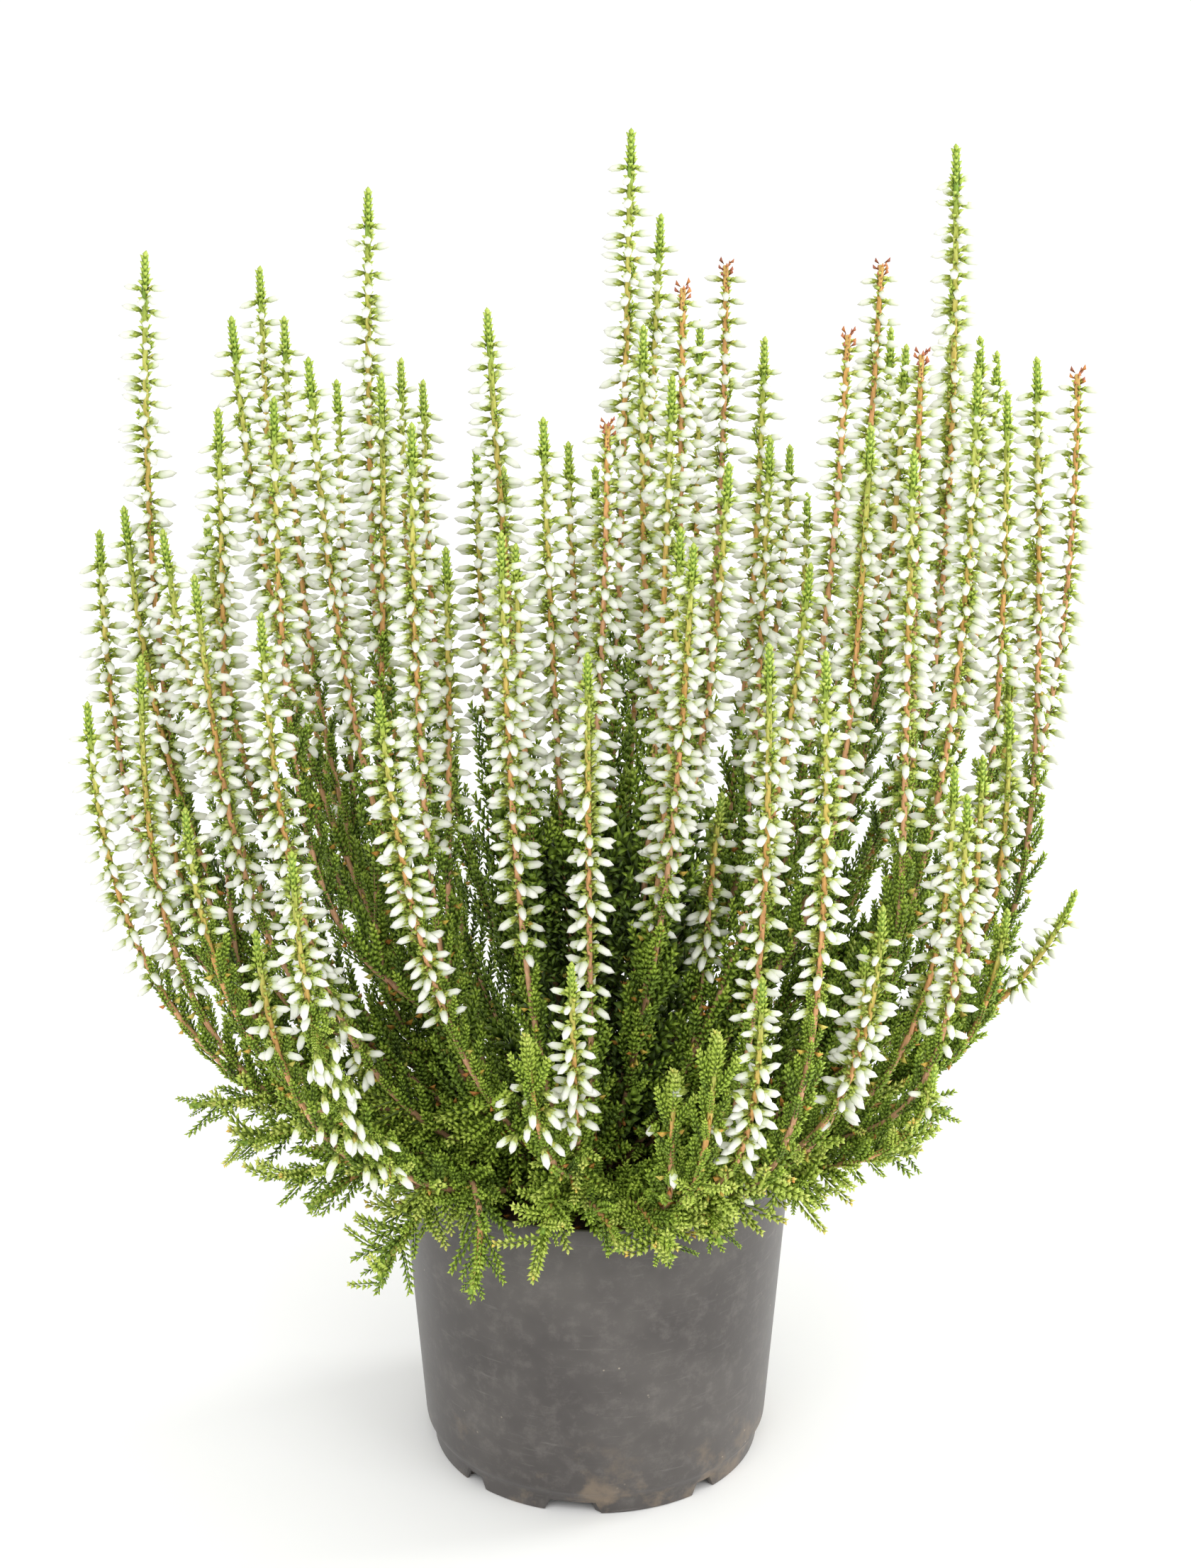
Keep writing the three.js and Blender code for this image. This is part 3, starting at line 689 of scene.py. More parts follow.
def shoot_shape(length, pitch, leaf, leaf_length, spread, bow, rng):
    """A shoot along Z that curves towards Y. Its leaves grow fresher towards its blunt tip, and their darker
    foot is partly painted shade.
    """
    pairs = round(length / pitch)

    def leaf_at(k):
        share = (k + 0.4) / pairs
        lean = spread * (1 - 0.62 * share**4) + rng.normal(0, 0.07)
        size = leaf_length * (0.86 + 0.24 * share - 0.42 * share**5) * rng.uniform(0.92, 1.08)
        # Fresher leaves towards the tip, and a darker foot that is partly painted shade between the shoots.
        tone = 0.2 * (2.1 * share**1.6 - 1) + rng.normal(0, 0.02)
        return 0.5, length * share * CORE_REACH, lean, size, tone

    shoot = joined([braid(leaf, pairs, rng, leaf_at), core_shape(length * CORE_REACH, CORE_RADIUS)])
    shoot.points[:, 1] += bow * shoot.points[:, 2] ** 2 / length
    return shoot


rng = np.random.default_rng(SEED)
SHORT_SHOOTS = [shoot_shape(6.0, 1.0, SCALE_LEAF, 2.3, 0.56, 0.06, rng) for _ in range(2)]
SHOOTS = [shoot_shape(length, 0.9, SCALE_LEAF, 2.4, 0.58, 0.15, rng) for length in (11.0, 12.5, 14.0)]
LONG_SHOOTS = [shoot_shape(length, 1.08, SCALE_LEAF, 2.65, 0.6, 0.18, rng) for length in (15.0, 17.5)]
CROWN_SHOOTS = [shoot_shape(length, 1.15, SCALE_LEAF, 2.7, 0.76, 0.16, rng) for length in (12.0, 16.0)]
MIDDLE_SHOOTS = [shoot_shape(length, 1.3, SCALE_LEAF, 3.0, 0.62, 0.16, rng) for length in (13.0, 16.0)]
INNER_SHOOTS = [shoot_shape(length, 2.7, BROAD_LEAF, 5.0, 0.75, 0.1, rng) for length in (20.0, 26.0)]
print("shoot faces:", [len(shoot.faces) for shoot in SHORT_SHOOTS + SHOOTS + LONG_SHOOTS + CROWN_SHOOTS])

# %% [markdown]
# ## The tip of a raceme
# Above the last bud each raceme ends in a dense green tip of broad scale leaves, which lie close at the
# top and stand away a little lower down. It is a braid like the shoots, hung below its own top, so that
# it can be put straight on the end of a stem.

# %% Raceme tip
TIP_DEPTH, TIP_TOP, TIP_PAIRS = 11.0, 1.5, 12
TIP_LEAF = leaf_shape(width=0.6, thickness=0.44, waist=0.62, curl=0.16)


def tip_shape(rng):
    """A raceme's tip, which ends at the origin and hangs down -Z."""
    def leaf_at(k):
        share = (k + 0.5) / TIP_PAIRS
        lean = 0.4 + 0.42 * share * share + rng.normal(0, 0.06)
        tone = 0.14 - 0.1 * share + rng.normal(0, 0.03)
        return 0.62 + 0.1 * share, -(TIP_TOP + (TIP_DEPTH - TIP_TOP) * share), lean, 2.35 - 0.15 * share, tone

    return braid(TIP_LEAF, TIP_PAIRS, rng, leaf_at)


TIPS = [tip_shape(rng) for _ in range(3)]
print("tip faces:", len(TIPS[0].faces))

# %% [markdown]
# ## One bud
# A bud is a small pointed egg, fullest a quarter of the way up. A sphere of few faces has the right rings
# already: each ring is slid to its height and pulled in or out to the bud's outline. Its foot sits in a
# few green bracts, which belong to the leaves' mesh.

# %% One bud
BUD_PLACES = [0.0, 0.26, 0.73, 1.0]
BUD_SWELLS = [0.0, 1.0, 0.88, 0.0]


def bud_shape(length, width, bow):
    """A bud along Z that curves away from Y."""
    bm = bmesh.new()
    bmesh.ops.create_uvsphere(bm, u_segments=5, v_segments=len(BUD_PLACES) - 1, radius=1.0)
    for vert in bm.verts:
        ring = round((1 - math.acos(max(-1.0, min(1.0, vert.co.z))) / math.pi) * (len(BUD_PLACES) - 1))
        share = BUD_PLACES[ring]
        swell = BUD_SWELLS[ring] * width / 2 / max(math.hypot(vert.co.x, vert.co.y), 1e-6)
        vert.co = (vert.co.x * swell, vert.co.y * swell - bow * share * share, share * length)
    return shape_from(
        bm,
        lambda point: (0.02 * point.x / width, CHART_LOW + (1 - 2 * CHART_LOW) * point.z / length),
        True,
    )


def bud_foot_shape():
    """The bracts that clasp the bud's foot, rooted on the stem."""
    bracts, lean = 3, 0.42
    angles = 2 * math.pi * np.arange(bracts) / bracts
    ring = np.stack([np.cos(angles), np.sin(angles), 0 * angles], 1)
    directions = ring * math.sin(lean) + [0, 0, math.cos(lean)]
    outwards = ring * math.cos(lean) - [0, 0, math.sin(lean)]
    sizes, tones = np.array([3.5, 3.0, 3.2]), np.array([0.0, 0.04, -0.04])
    bract = leaf_shape(width=0.5, thickness=0.16, waist=0.5, curl=0.12)
    return copies(bract, ring * 0.2, turns_to(directions, outwards), sizes, tones)


BUDS = [bud_shape(5.3, 2.3, 0.4), bud_shape(5.0, 2.15, 0.2), bud_shape(5.6, 2.25, 0.7)]
BUD_FOOT = bud_foot_shape()
print("bud faces:", len(BUDS[0].faces), "foot faces:", len(BUD_FOOT.faces))

# %% [markdown]
# ## Bark round a stem
# The bark is a straight rod of rings that is bent onto the stem's line and tapered. Extruding one ring
# again and again keeps the rings at whole heights, so the chart is easy to lay out. Each extrusion leaves
# the face that it started from inside the rod, and those faces are deleted at the end.

# %% A straight rod
ROD_SIDES = 5


def rod_shape(rings):
    """A rod of unit radius whose rings lie at Z = 0, 1, 2 and so on."""
    bm = bmesh.new()
    bmesh.ops.create_circle(bm, cap_ends=True, segments=ROD_SIDES, radius=1.0)
    top = bm.faces[:]
    for _ in range(rings - 1):
        grown = bmesh.ops.extrude_face_region(bm, geom=top)["geom"]
        top = [part for part in grown if isinstance(part, bmesh.types.BMFace)]
        moved = [part for part in grown if isinstance(part, bmesh.types.BMVert)]
        bmesh.ops.translate(bm, verts=moved, vec=(0, 0, 1))
    level = [face for face in bm.faces if abs(face.normal.z) > 0.9]
    inner = [face for face in level if 0.1 < face.calc_center_median().z < rings - 1.1]
    bmesh.ops.delete(bm, geom=inner, context="FACES_ONLY")
    return shape_from(bm, lambda point: (0.5 + 0.5 * point.x, point.z / (rings - 1)), True)


print("faces of a rod of ten rings:", len(rod_shape(10).faces))

# %% [markdown]
# Everything on a stem is placed by how far it lies below the stem's tip. So a bend is walked once in
# short steps, and the distances are kept. A pair of sides across the stem, found from one fixed
# direction, tells leaves and buds which way is round it.

# %% A stem's line
HOLE_DEPTH = 9.0
LINE_STEPS = 160


class Line:
    """A stem's centre line, measured from its tip, with a pair of sides at every place."""

    def __init__(self, bend, rooted):
        ts = np.linspace(0, 1, LINE_STEPS)[:, None]
        points = (
            (1 - ts) ** 3 * bend[0]
            + 3 * (1 - ts) ** 2 * ts * bend[1]
            + 3 * (1 - ts) * ts**2 * bend[2]
            + ts**3 * bend[3]
        )
        if rooted:
            points = np.vstack([points[0] - [0, 0, HOLE_DEPTH], points])
        self.points = points[::-1]
        steps = np.linalg.norm(np.diff(self.points, axis=0), axis=1)
        self.below = np.concatenate([[0], np.cumsum(steps)])
        self.length = self.below[-1]
        self.reference = np.array([1.0, 0.02, 0.0])

    def at(self, below):
        return np.array([np.interp(below, self.below, column) for column in self.points.T]).T

    def along(self, below):
        """The upward direction of the stem at a place."""
        ahead = self.at(np.maximum(below - 0.6, 0.0)) - self.at(np.minimum(below + 0.6, self.length))
        return unit(ahead)

    def sides(self, below):
        """Two directions across the stem, a quarter turn apart."""
        along = self.along(below)
        first = unit(self.reference - along * (along @ self.reference)[..., None])
        return first, np.cross(along, first)

    def here(self, below):
        """The stem's point, its upward direction and its two sides at a place."""
        return self.at(below), self.along(below), *self.sides(below)


print("first stem:", round(Line(bends[0], True).length), "mm from its hole to its tip")

# %% Bark along a line
RING_SPACING = 9
STEM_FOOT_RADIUS, STEM_TIP_RADIUS = 0.9, 0.78


def bark_shape(line, strip, strips, youth):
    """The bark along a line, on its own strip of the chart. A youth under 1 has no green end."""
    rings = int(line.length / RING_SPACING) + 2
    rod = rod_shape(rings)
    share = rod.points[:, 2] / (rings - 1)
    below = (1 - share) * (line.length - 1.0) + 1.0
    radius = STEM_FOOT_RADIUS + (STEM_TIP_RADIUS - STEM_FOOT_RADIUS) * share**0.8
    first, second = line.sides(below)
    across = first * rod.points[:, :1] + second * rod.points[:, 1:2]
    places = rod.places.copy()
    places[..., 0] = (strip + 0.1 + 0.8 * places[..., 0]) / strips
    places[..., 1] *= youth
    return rod._replace(points=line.at(below) + across * radius[:, None], places=places)


print("bark has a ring for each", RING_SPACING, "mm")

# %% [markdown]
# ## Where things may grow
# Nothing may grow through the pot's wall or into the soil, so each long shoot is tested before it is
# placed. A test of two or three points along a shoot is enough, since the shoots are short and nearly
# straight. Shoots deep in the bush are hardly seen, so plainer ones with few broad leaves stand there and
# close the bush with far fewer faces.

# %% Clear of the pot
POT_HEIGHT = 95
POT_MARGIN = 1.5
GOLDEN_TURN = 2.4
INNER_RISE = 96
UP = np.array([0.0, 0.0, 1.0])


def turned_between(first, second, angle):
    """A direction across a stem, at an angle from its first side."""
    return first * math.cos(angle) + second * math.sin(angle)


def clears_pot(point):
    """Whether a point is clear of the pot's wall and above the soil."""
    out = math.hypot(point[0], point[1])
    inside = out < RIM_RADIUS - 3 and point[2] > SOIL_TOP + 1
    return inside or point[2] > POT_HEIGHT + POT_MARGIN or out > RIM_RADIUS + POT_MARGIN


def shoots_at(point, outer):
    """The kind of shoot for a place: plain deep in the bush, the given kind at its outside."""
    out, rise = math.hypot(point[0], point[1]), point[2] - SOIL_TOP
    if out < 17 + 0.14 * rise and rise < INNER_RISE:
        return INNER_SHOOTS
    return MIDDLE_SHOOTS if out < 30 + 0.3 * rise else outer


def reach_of(shoot, direction, scale):
    """From a shoot's foot to its end."""
    return direction * shoot.points[:, 2].max() * scale


for spot in ((0, 0, 100), (54, 0, 92), (70, 0, 60)):
    print("may something grow at", spot, "mm:", clears_pot(spot))

# %% [markdown]
# ## How a raceme flowers
# Under its green tip a raceme carries crossed pairs of buds, and each pair is turned a quarter from the
# one above. Lower down a bud often has a second one beside it on a side twig. Between the buds sit pairs
# of small leaves, and here and there a leafy tuft. Everything that varies from bud to bud is drawn from
# one seeded stream, so that the plant is the same each time.

# %% Buds on one side of a stem
BUD_START = 1.3


def put_bud(blooms, greens, origin, direction, upward, size, tint, rng):
    """One bud with its bracts, on its stalk."""
    bud = BUDS[rng.integers(len(BUDS))]
    blooms.put(bud, origin + direction * BUD_START * size, direction, upward, size, tint)
    greens.put(BUD_FOOT, origin, direction, upward, size, TIP + 0.06 + rng.normal(0, 0.04))


def put_buds(here, angle, depth, grown, doubled, blooms, greens, rng):
    """One bud on one side of a stem, or two. Lower buds hang a little, and ripe ones are bigger."""
    centre, along, first, second = here
    for k in range(1 + (rng.random() < doubled)):
        outward = turned_between(first, second, angle + k * rng.choice((-0.5, 0.5)))
        lift = rng.normal(0.06 - 0.2 * depth, 0.16) - 0.12 * k
        direction = outward * math.cos(lift) + along * math.sin(lift)
        root = centre + along * (rng.uniform(-0.3, 0.3) - 1.9 * k) + outward * 0.4
        size = (0.76 + 0.24 * grown) * rng.uniform(0.9, 1.06)
        put_bud(blooms, greens, root, direction, along, size, 0.2 + 0.55 * grown, rng)


print("a bud starts", BUD_START, "mm from its stem")

# %% Leaves beside a bud
LEAF_TURN = 0.8


def put_tuft(here, angle, greens, rng):
    """A short leafy shoot beside a bud."""
    centre, along, first, second = here
    direction = turned_between(first, second, angle + LEAF_TURN) * 0.5 + along * 0.86
    scale = rng.uniform(0.6, 0.95)
    shoot = SHORT_SHOOTS[rng.integers(2)]
    greens.put(shoot, centre, direction, along, scale, FRESH + rng.normal(0, 0.05))


def put_small_leaves(here, angle, greens, rng):
    """Two small leaves, one on each side of a bud."""
    centre, along, first, second = here
    for side in (-1, 1):
        outward = turned_between(first, second, angle + LEAF_TURN * side)
        foot = centre + outward * 0.5 + along * (0.7 * side + rng.uniform(-0.3, 0.3))
        direction = outward * 0.7 + along * 0.7
        greens.put(SCALE_LEAF, foot, direction, outward, 2.6, TIP + 0.03 + rng.normal(0, 0.05))


print("leaves stand", round(math.degrees(LEAF_TURN)), "degrees round the stem from a bud")

# %% Down a raceme
BUD_STEP = 3.25
CLUSTER_FROM = 26.0
RIPE_BELOW = 22


def dress_bloom(line, top, bloom, blooms, greens, rng):
    """Buds in crossed pairs below the tip. Returns how far down they reach."""
    below, pair = top, 0
    phase = rng.normal(0, 0.25)
    while below < top + bloom:
        here = line.here(below)
        depth = (below - top) / bloom
        grown = min(1.0, (below - top + 8) / RIPE_BELOW)
        low = below > CLUSTER_FROM
        doubled = 0.75 * math.sin(math.pi * depth) if low else 0.05
        for half in range(2):
            angle = phase + math.pi * (0.5 * pair + half) + rng.normal(0, 0.14)
            put_buds(here, angle, depth, grown, doubled, blooms, greens, rng)
            if low and rng.random() < 0.05 + 0.27 * depth:
                put_tuft(here, angle, greens, rng)
            else:
                put_small_leaves(here, angle, greens, rng)
        below += BUD_STEP * (0.9 + 0.25 * depth) * rng.uniform(0.92, 1.08)
        pair += 1
    return below


print("pairs of buds on 100 mm of raceme, about", round(100 / BUD_STEP))

# %% [markdown]
# ## Tips that have dried, plumes and tassels
# A few racemes are not like the others. Some have lost their tip, which is a brown knob of curled leaves.
# A young one is a plume of light shoots over a few drooping buds. And on old ones buds hang outwards on
# little leafy twigs. Each is a rule of its own, so that it can be given to any raceme.

# %% Dried tips, plumes and tassels
WITHERED_LEAVES = 9
PLUME_SHOOTS, PLUME_TOP, PLUME_STEP, PLUME_LENGTH = 7, 11, 1.3, 20
PLUME_BUDS_FROM, PLUME_BUDS_LENGTH = 17, 17
TASSEL_SHOOT_LENGTH = 13


def dress_withered(line, greens, rng):
    """A knob of curled brown leaves round a tip that has dried up."""
    for k in range(WITHERED_LEAVES):
        centre, along, first, second = line.here(0.4 + 0.45 * k)
        outward = turned_between(first, second, GOLDEN_TURN * k)
        direction = unit(outward * rng.uniform(0.3, 0.75) + along * rng.uniform(0.6, 1.2))
        size, tone = rng.uniform(2.0, 2.8), rng.uniform(ORANGE + 0.02, RUSTY + 0.02)
        greens.put(SCALE_LEAF, centre + outward * 0.6, direction, along, size, tone)


def dress_plume(line, drooping, blooms, greens, rng):
    """A tuft of light shoots over a number of drooping buds. Returns how far down it reaches."""
    for k in range(PLUME_SHOOTS):
        centre, along, first, second = line.here(PLUME_TOP + PLUME_STEP * k)
        outward = turned_between(first, second, GOLDEN_TURN * k)
        lean = 0.14 + 0.09 * k
        direction = outward * math.sin(lean) + along * math.cos(lean)
        greens.put(SHOOTS[k % 3], centre, direction, along, 1.05, FRESH + 0.1 - 0.03 * k)
    for k in range(drooping):
        centre, along, first, second = line.here(PLUME_BUDS_FROM + PLUME_BUDS_LENGTH * k / drooping)
        outward = turned_between(first, second, GOLDEN_TURN * k + rng.normal(0, 0.2))
        droop = rng.uniform(0.3, 1.0)
        direction = outward * math.cos(droop) - along * math.sin(droop)
        root = centre + outward * rng.uniform(1.5, 7.5)
        put_bud(blooms, greens, root, direction, along, rng.uniform(0.9, 1.06), 0.7, rng)
    return PLUME_LENGTH


def dress_tassels(line, start, end, count, blooms, greens, rng):
    """Drooping buds on short leafy twigs, which hang from the outer side of an old raceme."""
    for k in range(count):
        centre = line.at(start + (end - start) * (k + 0.5) / count)
        radial = unit(np.array([0.15 * centre[0], centre[1], 0.0]))
        aside = np.cross([0, 0, 1], radial) * rng.normal(0.45, 0.6)
        twig = unit(radial + aside + [0, 0, rng.uniform(-0.6, 0.3)])
        reach = rng.uniform(5.0, 13.0)
        spread = aside * rng.uniform(0.0, 1.6) + radial * rng.uniform(0.1, 0.5)
        droop = unit(spread - [0, 0, rng.uniform(0.5, 1.0)])
        if clears_pot(centre + twig * reach + droop * 7):
            size = rng.uniform(0.9, 1.06)
            put_bud(blooms, greens, centre + twig * reach, droop, twig, size, 0.7, rng)
            greens.put(SHOOTS[k % 3], centre, twig, UP, reach / TASSEL_SHOOT_LENGTH, FRESH)


print("leaves on a dried tip:", WITHERED_LEAVES, "shoots in a plume:", PLUME_SHOOTS)

# %% [markdown]
# ## Leafy parts of a stem
# Below its buds a stem carries crossed pairs of leafy shoots that get longer and darker towards the foot,
# and a dead leaf hangs in them here and there. A shoot first follows its stem and then turns up, so its
# direction is mixed from the two.

# %% Leafy shoots on a stem
SHOOTS_END = 12
UPRIGHT = 0.7 * UP
INNER_DENSE = 114
WIDE_AT, WIDE_BELOW = 66, 175


def put_shoot(centre, outward, upwards, depth, greens, rng):
    """One leafy shoot on a stem, if it clears the pot. The depth is 0 under the buds and 1 at the foot."""
    lean = rng.normal(0.44, 0.08) + 0.16 * depth
    direction = unit(outward * math.sin(lean) + upwards * math.cos(lean))
    kinds = shoots_at(centre, SHOOTS if depth < 0.55 else LONG_SHOOTS)
    plain = kinds is INNER_SHOOTS
    scale = rng.uniform(0.8, 1.1) * (0.75 + 0.25 * min(1, 4 * depth + 0.2))
    shoot = kinds[rng.integers(len(kinds))]
    end = centre + reach_of(shoot, direction, scale)
    chance = 1.0 if not plain else 0.9 if centre[2] > INNER_DENSE else 0.3
    wanted = rng.random() < chance
    if wanted and clears_pot(end) and clears_pot((centre + end) / 2):
        # Painted shade: plain shoots deep in the bush take the darkest green.
        tone = (PAINTED_SHADE_TONE + 0.05 if plain else MID - 0.01 - 0.1 * depth) + rng.normal(0, 0.05)
        greens.put(shoot, centre, direction, upwards, scale, tone)


def dress_leafy(line, below, step, greens, rng):
    """Crossed pairs of leafy shoots, from below the buds down to the crown."""
    pair = int(rng.integers(4))
    start = below
    while below < line.length - SHOOTS_END:
        centre, along, first, second = line.here(below)
        depth = (below - start) / max(line.length - start, 1)
        for half in range(2):
            angle = math.pi * (0.5 * pair + half) + rng.normal(0, 0.25)
            outward = turned_between(first, second, angle)
            put_shoot(centre, outward, unit(along + UPRIGHT), depth, greens, rng)
            if rng.random() < 0.35 + 0.35 * depth:
                fallen = outward * 0.9 + along * rng.uniform(-0.3, 0.4)
                tone = rng.uniform(YELLOW - 0.04, ORANGE + 0.03)
                greens.put(SCALE_LEAF, centre + outward * 0.5, fallen, along, rng.uniform(2.6, 3.8), tone)
        low_and_wide = centre[2] < WIDE_BELOW and math.hypot(centre[0], centre[1]) > WIDE_AT
        below += step * (0.98 if low_and_wide else 1.08) * rng.uniform(0.85, 1.15)
        pair += 1


print("a stem carries shoots down to", SHOOTS_END, "mm from its foot")

# %% [markdown]
# Round the crown, low on every stem, shoots point all ways, and near the rim they lean out over it and
# hide the pot's edge. They are turned about the middle of the pot instead of about their stem, because
# light from outside is what a low shoot grows towards.

# %% The crown
CROWN_TOP = 126
CROWN_START, CROWN_STEP = 10, 3.9
RIM_ZONE = (38, 72)
PLAIN_WITHIN = 20


def dress_crown(line, greens, rng):
    """Shoots around the lowest part of a stem. Near the rim they lean outwards over it."""
    below = line.length - CROWN_START
    while below > 0 and line.at(below)[2] < CROWN_TOP:
        centre = line.at(below)
        radial = unit(np.array([centre[0], centre[1], 0.0]) + 1e-6)
        tangential = np.cross([0, 0, 1], radial)
        out = math.hypot(centre[0], centre[1])
        near_rim = RIM_ZONE[0] < out < RIM_ZONE[1]
        for _ in range(2 if near_rim else 1):
            drop = rng.uniform(-0.75, 0.35) if near_rim else rng.uniform(-0.1, 0.7)
            direction = unit(radial * rng.uniform(0.3, 1.0) + tangential * rng.normal(0, 0.6) + [0, 0, drop])
            kinds = CROWN_SHOOTS if out > PLAIN_WITHIN else MIDDLE_SHOOTS
            shoot = kinds[rng.integers(2)]
            scale = rng.uniform(0.8, 1.15)
            reach = reach_of(shoot, direction, scale)
            if all(clears_pot(centre + reach * share) for share in (0.35, 0.7, 1.0)):
                # Painted light and shade: shoots that reach out to the bright outside are painted lighter,
                # those inside darker.
                outer = min(1.0, math.hypot(*(centre + reach)[:2]) / OUTER_REACH)
                tone = OLD + 0.03 + 0.34 * outer**2 + rng.normal(0, 0.05)
                greens.put(shoot, centre, direction, UP, scale, tone)
        below -= CROWN_STEP


print("the crown reaches up to", CROWN_TOP, "mm")

# %% [markdown]
# The low sprays don't flower. Each is leafy from its tip on, with crossed side shoots that get longer
# away from the tip, as on a small fir branch.

# %% Low sprays
SPRAY_LEAFY = 28
SPRAY_LEAF_STEP, SPRAY_SHOOT_STEP = 1.15, 3.4
SPRAY_SHOOTS_FROM, SPRAY_SHOOTS_END = 6.0, 6


def dress_spray(line, greens, rng):
    """A low spray: leaves all along it, and side shoots that get longer away from its tip."""
    below, pair = 1.0, 0
    while below < SPRAY_LEAFY:
        _, along, first, second = line.here(below)
        for half in range(2):
            outward = turned_between(first, second, math.pi * (0.5 * pair + half))
            foot = line.at(below + 2.0) + outward * 0.4
            lean = outward * math.sin(0.7) + along * math.cos(0.7)
            tone = FRESH + 0.14 - 0.02 * below + rng.normal(0, 0.02)
            greens.put(SCALE_LEAF, foot, lean, outward, 2.7, tone)
        below += SPRAY_LEAF_STEP
        pair += 1
    below = SPRAY_SHOOTS_FROM
    while below < line.length - SPRAY_SHOOTS_END:
        centre, along, first, second = line.here(below)
        for half in range(2):
            angle = math.pi * (0.5 * pair + half) + rng.normal(0, 0.25)
            outward = turned_between(first, second, angle)
            lean = rng.normal(0.75, 0.12)
            direction = outward * math.sin(lean) + along * math.cos(lean)
            shoot = CROWN_SHOOTS[rng.integers(2)]
            scale = rng.uniform(0.7, 1.05) * min(1.0, 0.4 + below / 26)
            end = centre + reach_of(shoot, direction, scale)
            if clears_pot(end) and clears_pot((centre + end) / 2):
                greens.put(shoot, centre, direction, along, scale, MID + rng.normal(0, 0.06))
        below += SPRAY_SHOOT_STEP * rng.uniform(0.85, 1.15)
        pair += 1


print("a spray has leaves on", SPRAY_LEAFY, "mm below each tip")

# %% [markdown]
# ## From shape to piece
# A finished shape becomes a mesh with one material and its paint chart. Its object stays at the origin,
# it rides on the plant's body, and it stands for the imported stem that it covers. Each stem becomes up to
# three pieces: its bark, its leaves and its buds.

# %% Shape to piece
def tie(piece, slot, *nodes):
    """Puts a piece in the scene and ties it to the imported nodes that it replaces."""
    if not piece.users_collection:
        bpy.context.scene.collection.objects.link(piece)
    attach(piece, BODY)
    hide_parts(*nodes)
    return piece


def piece_from(name, shape, finish, slot, *nodes):
    """Makes a shape a piece, in metres."""
    mesh = bpy.data.meshes.new(name)
    count = len(shape.faces)
    mesh.vertices.add(len(shape.points))
    mesh.vertices.foreach_set("co", (shape.points * MM).ravel())
    mesh.loops.add(3 * count)
    mesh.loops.foreach_set("vertex_index", shape.faces.ravel())
    mesh.polygons.add(count)
    mesh.polygons.foreach_set("loop_start", 3 * np.arange(count))
    mesh.polygons.foreach_set("use_smooth", shape.smooth)
    mesh.uv_layers.new(name=CHART).data.foreach_set("uv", shape.places.ravel())
    mesh.materials.append(finish)
    mesh.update()
    mesh.validate()
    return tie(bpy.data.objects.new(name, mesh), slot, *nodes)


print("the plant's pieces ride on the body", BODY)

# %% [markdown]
# ## Dress every stem
# Each stem draws from a stream of its own, so a change to one stem leaves the others as they are. The
# lists below name the racemes, as stem and raceme, that have dried tips, plumes or tassels, and the stems
# that are bushier than the rest. The stems at the back are a little bushier too.

# %% One raceme
TIP_LENGTH = 9.5
WITHERED_LENGTH = 5.0
WITHERED_TIPS = {(20, 1), (22, 1), (24, 0), (31, 0), (33, 0), (35, 1), (39, 0)}
PLUMES = {(45, 1): 20, (47, 0): 4, (47, 1): 3}
TASSELS = {(13, 0): (98, 118, 8), (15, 0): (46, 100, 36), (29, 0): (150, 175, 8)}
SHOOT_STEP = 4.6
BUSHY_STEMS = {11: 0.7, 17: 0.56, 49: 0.68}
BACK_STEMS, BACK_BUSHY = 48, 0.82


def dress_raceme(line, index, side, bloom, blooms, greens, rng):
    """The tip, the buds and the leafy shoots of one raceme, from its tip down."""
    tip_tone = FRESH + rng.normal(0, 0.04)
    tip = TIPS[rng.integers(3)]
    withered = (index, side) in WITHERED_TIPS
    sunk, size, tone = (1.5, 0.62, RUSTY - 0.05) if withered else (0.0, 1.0, tip_tone)
    greens.put(tip, line.at(sunk), line.along(4.0), line.sides(4.0)[0], size, tone)
    if withered:
        dress_withered(line, greens, rng)
    if (index, side) in TASSELS:
        dress_tassels(line, *TASSELS[index, side], blooms, greens, rng)
    if (index, side) in PLUMES:
        reached = dress_plume(line, PLUMES[index, side], blooms, greens, rng)
    else:
        top = WITHERED_LENGTH if withered else TIP_LENGTH
        reached = dress_bloom(line, top, bloom, blooms, greens, rng)
    closeness = BUSHY_STEMS.get(index, BACK_BUSHY if index >= BACK_STEMS else 1)
    dress_leafy(line, reached, SHOOT_STEP * closeness, greens, rng)


print("dried tips:", len(WITHERED_TIPS), "plumes:", len(PLUMES), "racemes with tassels:", len(TASSELS))

